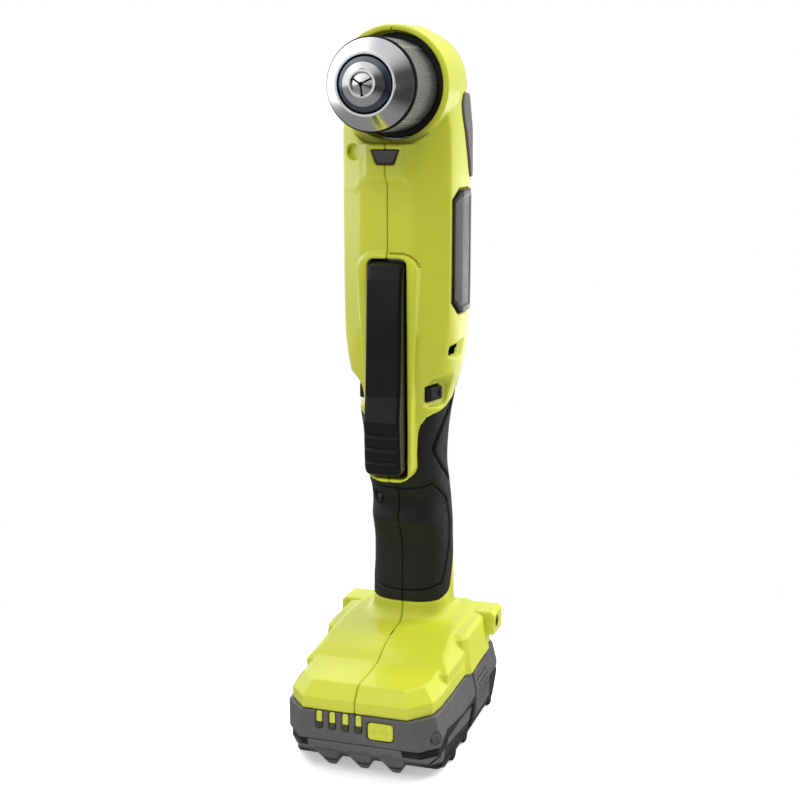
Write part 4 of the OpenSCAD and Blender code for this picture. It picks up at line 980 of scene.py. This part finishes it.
def bake_modifiers(piece, helpers):
    """Keep the result of a piece's modifiers as its mesh, and remove the helpers."""
    bpy.context.view_layer.update()
    result = bpy.data.meshes.new_from_object(piece.evaluated_get(bpy.context.evaluated_depsgraph_get()))
    piece.modifiers.clear()
    piece.data = result
    for helper in helpers:
        bpy.data.objects.remove(helper)
    result.set_sharp_from_angle(angle=SHARP_ANGLE)
    return piece


# Materials
WHITE = (1, 1, 1, 1)
TONE_SCALE = 45
GLOSS_SCALE = 160
COAT_ROUGHNESS = 0.08
WORN_EDGE = (0.53, 0.66)
WORN_SHARE = 0.35


def new_material(name):
    """A material with its node tree and its surface shader."""
    material = bpy.data.materials.new(name)
    material.use_nodes = True
    return material, material.node_tree, material.node_tree.nodes["Principled BSDF"]


def set_inputs(tree, node, inputs):
    """Give a node's inputs values, or link them to outputs of other nodes."""
    for key, value in inputs.items():
        if isinstance(value, bpy.types.NodeSocket):
            tree.links.new(value, node.inputs[key])
        else:
            node.inputs[key].default_value = value


def add_node(tree, kind, inputs, **settings):
    """The outputs of a new shader node."""
    node = tree.nodes.new(f"ShaderNode{kind}")
    for key, value in settings.items():
        setattr(node, key, value)
    set_inputs(tree, node, inputs)
    return node.outputs


def noise(tree, scale, detail=3.0, stretch=(1, 1, 1)):
    """Noise over the piece's own space, in metres."""
    place = add_node(tree, "TexCoord", {})["Object"]
    stretched = add_node(tree, "Mapping", {"Vector": place, "Scale": stretch})["Vector"]
    return add_node(tree, "TexNoise", {"Vector": stretched, "Scale": scale, "Detail": detail})["Fac"]


def ramp(tree, value, inputs, outputs, kind="SMOOTHSTEP"):
    """A change of a value between two levels, smooth unless another kind is given."""
    levels = {"From Min": inputs[0], "From Max": inputs[1], "To Min": outputs[0], "To Max": outputs[1]}
    return add_node(tree, "MapRange", {"Value": value, **levels}, interpolation_type=kind)["Result"]


def spread(tree, value, low, high):
    """Noise values spread evenly between two numbers."""
    return ramp(tree, value, (0.3, 0.7), (low, high), "LINEAR")


def mix_shaders(tree, share, first, second):
    return add_node(tree, "MixShader", {"Fac": share, 1: first, 2: second})["Shader"]


def mix_colors(tree, share, first, second):
    """A mix of two colours, each as a tuple or as another node's output."""
    first, second = ((*color, 1) if isinstance(color, tuple) else color for color in (first, second))
    return add_node(tree, "Mix", {"Factor": share, 6: first, 7: second}, data_type="RGBA")[2]


def finish(name, color, tint, roughness, grain, depth, metallic=0.0, coat=0.0, wear=None,
           stretch=(1, 1, 1), specular=0.5):
    """A surface with uneven colour and gloss, a fine moulded or machined grain, and worn edges."""
    material, tree, shader = new_material(name)
    tone = mix_colors(tree, spread(tree, noise(tree, TONE_SCALE), 0, 1), color, tint)
    if wear:
        edge = add_node(tree, "NewGeometry", {})["Pointiness"]
        tone = mix_colors(tree, ramp(tree, edge, WORN_EDGE, (0, WORN_SHARE)), tone, wear)
    gloss = spread(tree, noise(tree, GLOSS_SCALE, 4.0, stretch), roughness*0.85, roughness*1.18)
    height = noise(tree, grain, 2.0, stretch)
    bump = add_node(tree, "Bump", {"Strength": 1.0, "Distance": depth*MM, "Height": height})
    set_inputs(tree, shader, {"Metallic": metallic, "Coat Weight": coat, "Coat Roughness": COAT_ROUGHNESS,
                              "Specular IOR Level": specular, "Base Color": tone, "Roughness": gloss,
                              "Normal": bump["Normal"]})
    return material


def grey(level):
    return (level, level, level)


LIME = (0.485, 0.520, 0.030)
lime_plastic = finish("lime_plastic", LIME, (0.455, 0.490, 0.026), 0.34, 2600, 0.012, coat=0.3,
                      wear=(0.62, 0.66, 0.12))
grip_rubber = finish("grip_rubber", (0.011, 0.011, 0.010), (0.015, 0.015, 0.014), 0.55, 2400, 0.05,
                     wear=grey(0.05), specular=0.22)
# Painted shade: black put where there is only shade, in the rubber grooves and on the sleeve's front land
painted_shade_black = finish("painted_shade_black", grey(0.005), grey(0.007), 0.6, 2400, 0.05, specular=0.15)
side_rubber = finish("bumper_rubber", (0.080, 0.080, 0.081), (0.095, 0.095, 0.096), 0.50, 2400, 0.05,
                     wear=grey(0.10))
gloss_black = finish("paddle_black", grey(0.006), grey(0.008), 0.22, 1500, 0.004, coat=0.15,
                     wear=grey(0.03), specular=0.16)
dark_plastic = finish("dark_plastic", (0.010, 0.010, 0.011), (0.014, 0.014, 0.015), 0.42, 2200, 0.02,
                      wear=grey(0.04), specular=0.25)
pack_grey = finish("pack_grey", (0.070, 0.070, 0.069), (0.080, 0.080, 0.079), 0.44, 2300, 0.025,
                   wear=grey(0.16))
pack_dark = finish("pack_dark", grey(0.008), grey(0.012), 0.40, 2300, 0.03, wear=grey(0.04), specular=0.25)
sleeve_plastic = finish("sleeve_plastic", (0.120, 0.120, 0.121), (0.140, 0.140, 0.141), 0.38, 1800, 0.01,
                        wear=grey(0.22))
# Lighter grey than the ribs: a painted highlight on the sleeve's smooth bars, together with a real glossier
# coat
sleeve_bar_highlight = finish("sleeve_bar_highlight", grey(0.20), grey(0.24), 0.20, 1200, 0.004, coat=0.4)
badge_face = finish("badge_face", (0.050, 0.050, 0.052), (0.060, 0.060, 0.062), 0.36, 2600, 0.015)
lens_dark = finish("lens_dark", (0.012, 0.012, 0.013), (0.018, 0.018, 0.019), 0.10, 900, 0.004, coat=0.6)
window_lit = finish("window_lit", (0.52, 0.56, 0.06), (0.40, 0.44, 0.04), 0.12, 900, 0.03, coat=0.8)
window_clear = finish("window_clear", (0.05, 0.055, 0.02), (0.02, 0.02, 0.015), 0.08, 700, 0.01, coat=0.8)
chrome = finish("chrome", (0.86, 0.87, 0.88), (0.80, 0.81, 0.82), 0.2, 1400, 0.002, metallic=1.0,
                stretch=(1, 0.2, 1))
blued_steel = finish("blued_steel", (0.16, 0.18, 0.21), (0.20, 0.22, 0.25), 0.28, 1400, 0.004, metallic=1.0)
black_steel = finish("black_steel", grey(0.03), grey(0.04), 0.35, 1400, 0.006, metallic=0.6)
steel = finish("steel", (0.52, 0.53, 0.54), (0.44, 0.45, 0.46), 0.27, 1200, 0.006, metallic=1.0,
               stretch=(1, 1, 6))
die_cast = finish("die_cast", (0.50, 0.51, 0.52), (0.42, 0.43, 0.44), 0.48, 900, 0.04, metallic=1.0)
brass = finish("brass", (0.72, 0.50, 0.20), (0.62, 0.42, 0.16), 0.26, 1200, 0.006, metallic=1.0)
copper = finish("copper_wire", (0.58, 0.24, 0.10), (0.46, 0.18, 0.07), 0.30, 1600, 0.10, metallic=1.0,
                stretch=(1, 1, 14))
board_green = finish("board_green", (0.02, 0.11, 0.05), (0.03, 0.14, 0.06), 0.38, 1300, 0.01)
cell_wrap = finish("cell_wrap", (0.03, 0.08, 0.22), (0.04, 0.10, 0.26), 0.32, 700, 0.01)
magnet_dark = finish("magnet_dark", (0.16, 0.16, 0.17), (0.20, 0.20, 0.21), 0.40, 1000, 0.01, metallic=1.0)

slot_finish = {"lime_plastic": lime_plastic, "grip_rubber": grip_rubber, "dark_plastic": dark_plastic,
               "gloss_black": gloss_black, "grey_plastic": pack_grey, "lens": lens_dark,
               "board": board_green, "steel": steel, "chrome": chrome, "alloy": die_cast, "brass": brass,
               "copper": copper, "magnet": magnet_dark, "cell": cell_wrap, "window": window_clear}
# The gear case cover is dark as painted shade of the deep recess round the chuck; the screws are black steel
node_finish = {"gear_case_cover": dark_plastic, "housing_screws": black_steel}


def dress(piece, body, nodes, materials):
    """Put a new piece on its body in place of CAD nodes."""
    piece.data.materials.clear()
    for material in materials:
        piece.data.materials.append(material)
    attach(piece, body)
    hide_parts(*nodes)
    return piece


def mould(name, shape, body, node, materials, mirror=False):
    """A piece from a grid and its field, put on its body in place of one CAD node."""
    return dress(piece_from_field(name, *shape, mirror=mirror), body, [node], materials)


def choose_finish(piece, choice):
    """Give each face one of the piece's finishes, by where its centre is in millimetres."""
    count = len(piece.data.polygons)
    centres = np.empty(count*3, np.float32)
    piece.data.polygons.foreach_get("center", centres)
    x, y, z = (centres.reshape(-1, 3)/MM).T
    piece.data.polygons.foreach_set("material_index", choice(x, y, z).astype(np.int32))
    piece.data.update()


def build_housing():
    g, field = housing_field()
    lined = field.copy()
    edit(lined, g, (0, -20, 220), (20, 0, 236),
         lambda f, l: cut_away(f, np.maximum(rim_line(l), -(f + 1.0)), 0.2))
    right = piece_from_field("shell_right", g, lined)
    cut_screw_pockets(field, g)
    left = piece_from_field("shell_left", g, field, mirror=True)
    for piece, node in ((right, "housing_right"), (left, "housing_left")):
        dress(piece, "tool", [node], [lime_plastic, dark_plastic])
        choose_finish(piece, lambda x, y, z: np.hypot(y - GRIP_SCREW[0], z - GRIP_SCREW[1]) < 6)


def build_rubber():
    g, field = rubber_field()
    right = piece_from_field("rubber_right", g, field)
    field = cut_away(field, screw_pocket(g, GRIP_SCREW), 0.6)
    left = piece_from_field("rubber_left", g, field, mirror=True)
    for piece, node in ((right, "grip_right"), (left, "grip_left")):
        dress(piece, "tool", [node], [grip_rubber, painted_shade_black])
        # Painted shade: the panel line and the swept groove are black, darker than the rubber round them
        choose_finish(piece, lambda x, y, z: rubber_grooves(y, z) > 0.55)
    mould("rubber_head", bumper_field(), "tool", "head_bumper", [side_rubber])


def build_badges():
    g = make_grid((16, 6.5, 202), (30, 30.5, 261), 0.4)
    field = badge_field(g, body_field(g))
    for side in ("right", "left"):
        plate = mould(f"side_plate_{side}", (g, field), "tool", f"badge_{side}",
                      [gloss_black, badge_face], mirror=side == "left")
        choose_finish(plate, lambda x, y, z: outline_field(y, z, BADGE_OUTLINE) < -3.2)


def sleeve_choice(x, y, z):
    """The ribs are dull. The smooth bars are a lighter grey, a painted highlight over their glossier coat. The
    land at the front is black, painted shade of the groove there.
    """
    away = from_bar(np.arctan2(z - CHUCK_Z, x))
    return np.where(y < -28.4, 2, (away < BAR_HALF_TURN) & (np.hypot(x, z - CHUCK_Z) > SLEEVE_R - 0.3))


def build_chuck():
    # The sleeve's bars carry a painted highlight, and its front land is black as painted shade
    sleeve = dress(make_sleeve(), "sleeve", ["chuck_sleeve"],
                   [sleeve_plastic, sleeve_bar_highlight, painted_shade_black])
    choose_finish(sleeve, sleeve_choice)
    dress(make_nose_ring(), "sleeve", ["chuck_nose_ring"], [chrome])
    body = dress(make_chuck_body(), "spindle", ["chuck_body"], [chrome, blued_steel])
    choose_finish(body, lambda x, y, z: (np.hypot(x, z - CHUCK_Z) > 9.3) & (y < -38))


def case_choice(x, y, z):
    """Dark in the side places, and a middle tone on the corner plug."""
    sunk = (side_place(y, z) < 0.1) & (np.abs(x) > 30)
    plug = (plug_distance(x, y, z) < PLUG_R) & (y < -44) & (x > 20)
    return np.where(plug, 2, sunk)


def base_choice(x, y, z):
    """Grey on the front bumper, its corners and the label plates."""
    front = (y < -36) & ((np.abs(x) < BUMPER_HALF) | (z < GAP_LOW_Z - 0.2)) & (side_place(y, z) > 0)
    return front | (label_plates(y, z) < -0.1) & (np.abs(x) > 32)


def build_battery():
    top = mould("pack_case", battery_top_field(), "battery", "battery_top",
                [pack_grey, pack_dark, badge_face])
    choose_finish(top, case_choice)
    base = mould("pack_base", battery_base_field(), "battery", "battery_base",
                 [pack_dark, pack_grey])
    choose_finish(base, base_choice)
    windows = mould("pack_windows", window_field(), "battery", "gauge_windows",
                    [window_clear, window_lit])
    choose_finish(windows, lambda x, y, z: z > WINDOW_LOW_Z + 3.4)
    mould("pack_button", button_field(), "gauge", "gauge_button", [lime_plastic])
    latch = latch_field()
    mould("latch_key_right", latch, "latch_r", "latch_right", [pack_grey])
    mould("latch_key_left", latch, "latch_l", "latch_left", [pack_grey], mirror=True)


def build_controls():
    mould("paddle", paddle_field(), "trigger", "trigger_paddle", [gloss_black])
    mould("selector_key", selector_field(), "selector", "selector_bar", [dark_plastic])
    mould("light_lens", lens_field(), "tool", "led_lens", [lens_dark])


def dress_frame():
    """Finishes of the CAD nodes that stay as they are."""
    for row in frame["record"]["subparts"]:
        node = frame["nodes"][row["node"]]
        node.data.materials.clear()
        node.data.materials.append(node_finish.get(row["node"], slot_finish[row["material_slot"]]))


# Studio
def add_light(name, place, target, size, power):
    light = bpy.data.lights.new(name, "AREA")
    light.shape = "RECTANGLE"
    light.size, light.size_y = size
    light.energy = power
    lamp = bpy.data.objects.new(name, light)
    lamp.location = place
    lamp.rotation_euler = (Vector(target) - Vector(place)).to_track_quat("-Z", "Y").to_euler()
    lamp.visible_glossy = False
    bpy.context.scene.collection.objects.link(lamp)


def add_floor():
    """A pale floor that keeps the shadow near the object and turns to plain white further out."""
    half = 6.0
    points = np.array([(-half, -half, 0), (half, -half, 0), (half, half, 0), (-half, half, 0)])/MM
    floor = new_object("floor", mesh_of("floor", points, [(0, 1, 2, 3)]))
    material, tree, shader = new_material("floor_white")
    set_inputs(tree, shader, {"Base Color": (0.92, 0.92, 0.92, 1), "Roughness": 0.9,
                              "Specular IOR Level": 0.0, "Emission Color": WHITE, "Emission Strength": 0.4})
    place = add_node(tree, "TexCoord", {})["Object"]
    length = add_node(tree, "VectorMath", {0: place}, operation="LENGTH")["Value"]
    away = ramp(tree, length, (0.08, 0.30), (0, 1))
    parts = add_node(tree, "SeparateXYZ", {"Vector": place})
    beside = ramp(tree, parts["X"], (0.1, 0.6), (0.25, 0.03))
    behind = ramp(tree, parts["Y"], (0.25, 1.1), (0, 1.7))
    level = add_node(tree, "Math", {0: beside, 1: behind}, operation="ADD")["Value"]
    white = add_node(tree, "Emission", {})["Emission"]
    reflected = add_node(tree, "Emission", {"Strength": level})["Emission"]
    rays = add_node(tree, "LightPath", {})
    plain = mix_shaders(tree, away, shader.outputs["BSDF"], white)
    seen = mix_shaders(tree, rays["Is Glossy Ray"], plain, reflected)
    set_inputs(tree, tree.nodes["Material Output"], {"Surface": seen})
    floor.data.materials.append(material)


# Bright parts of the room as shiny surfaces see it: direction, where it starts, where it is full, strength
ROOM_LIGHTS = [((0, 1, 0), 0.0, 0.75, 0.6), ((-0.94, 0.2, 0.27), 0.35, 0.95, 0.9),
               ((0, 0.1, 1), 0.35, 0.95, 0.6), ((-0.35, -0.92, 0.15), 0.4, 0.92, 0.8)]
ROOM_DARK = 0.05
PLAIN_LIGHT = 0.45


def room_level(tree):
    """Brightness of the room by direction."""
    direction = add_node(tree, "TexCoord", {})["Generated"]
    total = ROOM_DARK
    for axis, begin, full, strength in ROOM_LIGHTS:
        facing = add_node(tree, "VectorMath", {0: direction, 1: axis}, operation="DOT_PRODUCT")["Value"]
        bright = ramp(tree, facing, (begin, full), (0, strength))
        total = add_node(tree, "Math", {0: bright, 1: total}, operation="ADD")["Value"]
    return total


def set_world():
    """White behind the object, plain light on it, and a graded room for shiny surfaces."""
    world = bpy.data.worlds.new("studio")
    bpy.context.scene.world = world
    world.use_nodes = True
    tree = world.node_tree
    lit = tree.nodes["Background"]
    set_inputs(tree, lit, {"Color": WHITE, "Strength": PLAIN_LIGHT})
    seen = add_node(tree, "Background", {"Color": WHITE, "Strength": 1.0})["Background"]
    room = add_node(tree, "Background", {"Color": WHITE, "Strength": room_level(tree)})["Background"]
    rays = add_node(tree, "LightPath", {})
    shiny = mix_shaders(tree, rays["Is Glossy Ray"], lit.outputs["Background"], room)
    whole = mix_shaders(tree, rays["Is Camera Ray"], shiny, seen)
    set_inputs(tree, tree.nodes["World Output"], {"Surface": whole})


# Camera place in metres, its turn to the right and lift in degrees, and its lens and sensor in millimetres
CAMERA_PLACE = (0.20383, -0.6220, 0.29699)
CAMERA_TURN = 17.9
CAMERA_LIFT = 11.54
CAMERA_LENS = 65
CAMERA_SENSOR = 36


def add_camera():
    camera = bpy.data.cameras.new("camera")
    camera.lens = CAMERA_LENS
    camera.sensor_width = CAMERA_SENSOR
    camera.clip_end = 50
    turn, lift = math.radians(CAMERA_TURN), math.radians(CAMERA_LIFT)
    back = Vector((math.sin(turn)*math.cos(lift), -math.cos(turn)*math.cos(lift), math.sin(lift)))
    holder = bpy.data.objects.new("camera", camera)
    holder.location = CAMERA_PLACE
    holder.rotation_euler = back.to_track_quat("Z", "Y").to_euler()
    bpy.context.scene.collection.objects.link(holder)
    bpy.context.scene.camera = holder


# Lamps: name, place, target, size and power
SOFTBOXES = [("right_softbox", (0.8, 0.9, 0.5), (0, 0, 0.18), (0.6, 1.2), 22),
             ("left_softbox", (-1.0, 0.6, 0.45), (0, 0, 0.18), (0.6, 1.2), 7),
             ("top_softbox", (0.1, 0.1, 1.3), (0, 0, 0.1), (0.9, 0.9), 11),
             ("front_fill", (-0.2, -1.1, 1.5), (0, 0, 0.18), (0.8, 0.8), 16)]


def build_studio():
    add_floor()
    set_world()
    for softbox in SOFTBOXES:
        add_light(*softbox)
    add_camera()
    bpy.context.scene.view_settings.view_transform = "Standard"


dress_frame()
build_housing()
build_rubber()
build_badges()
build_controls()
build_chuck()
build_battery()
build_studio()
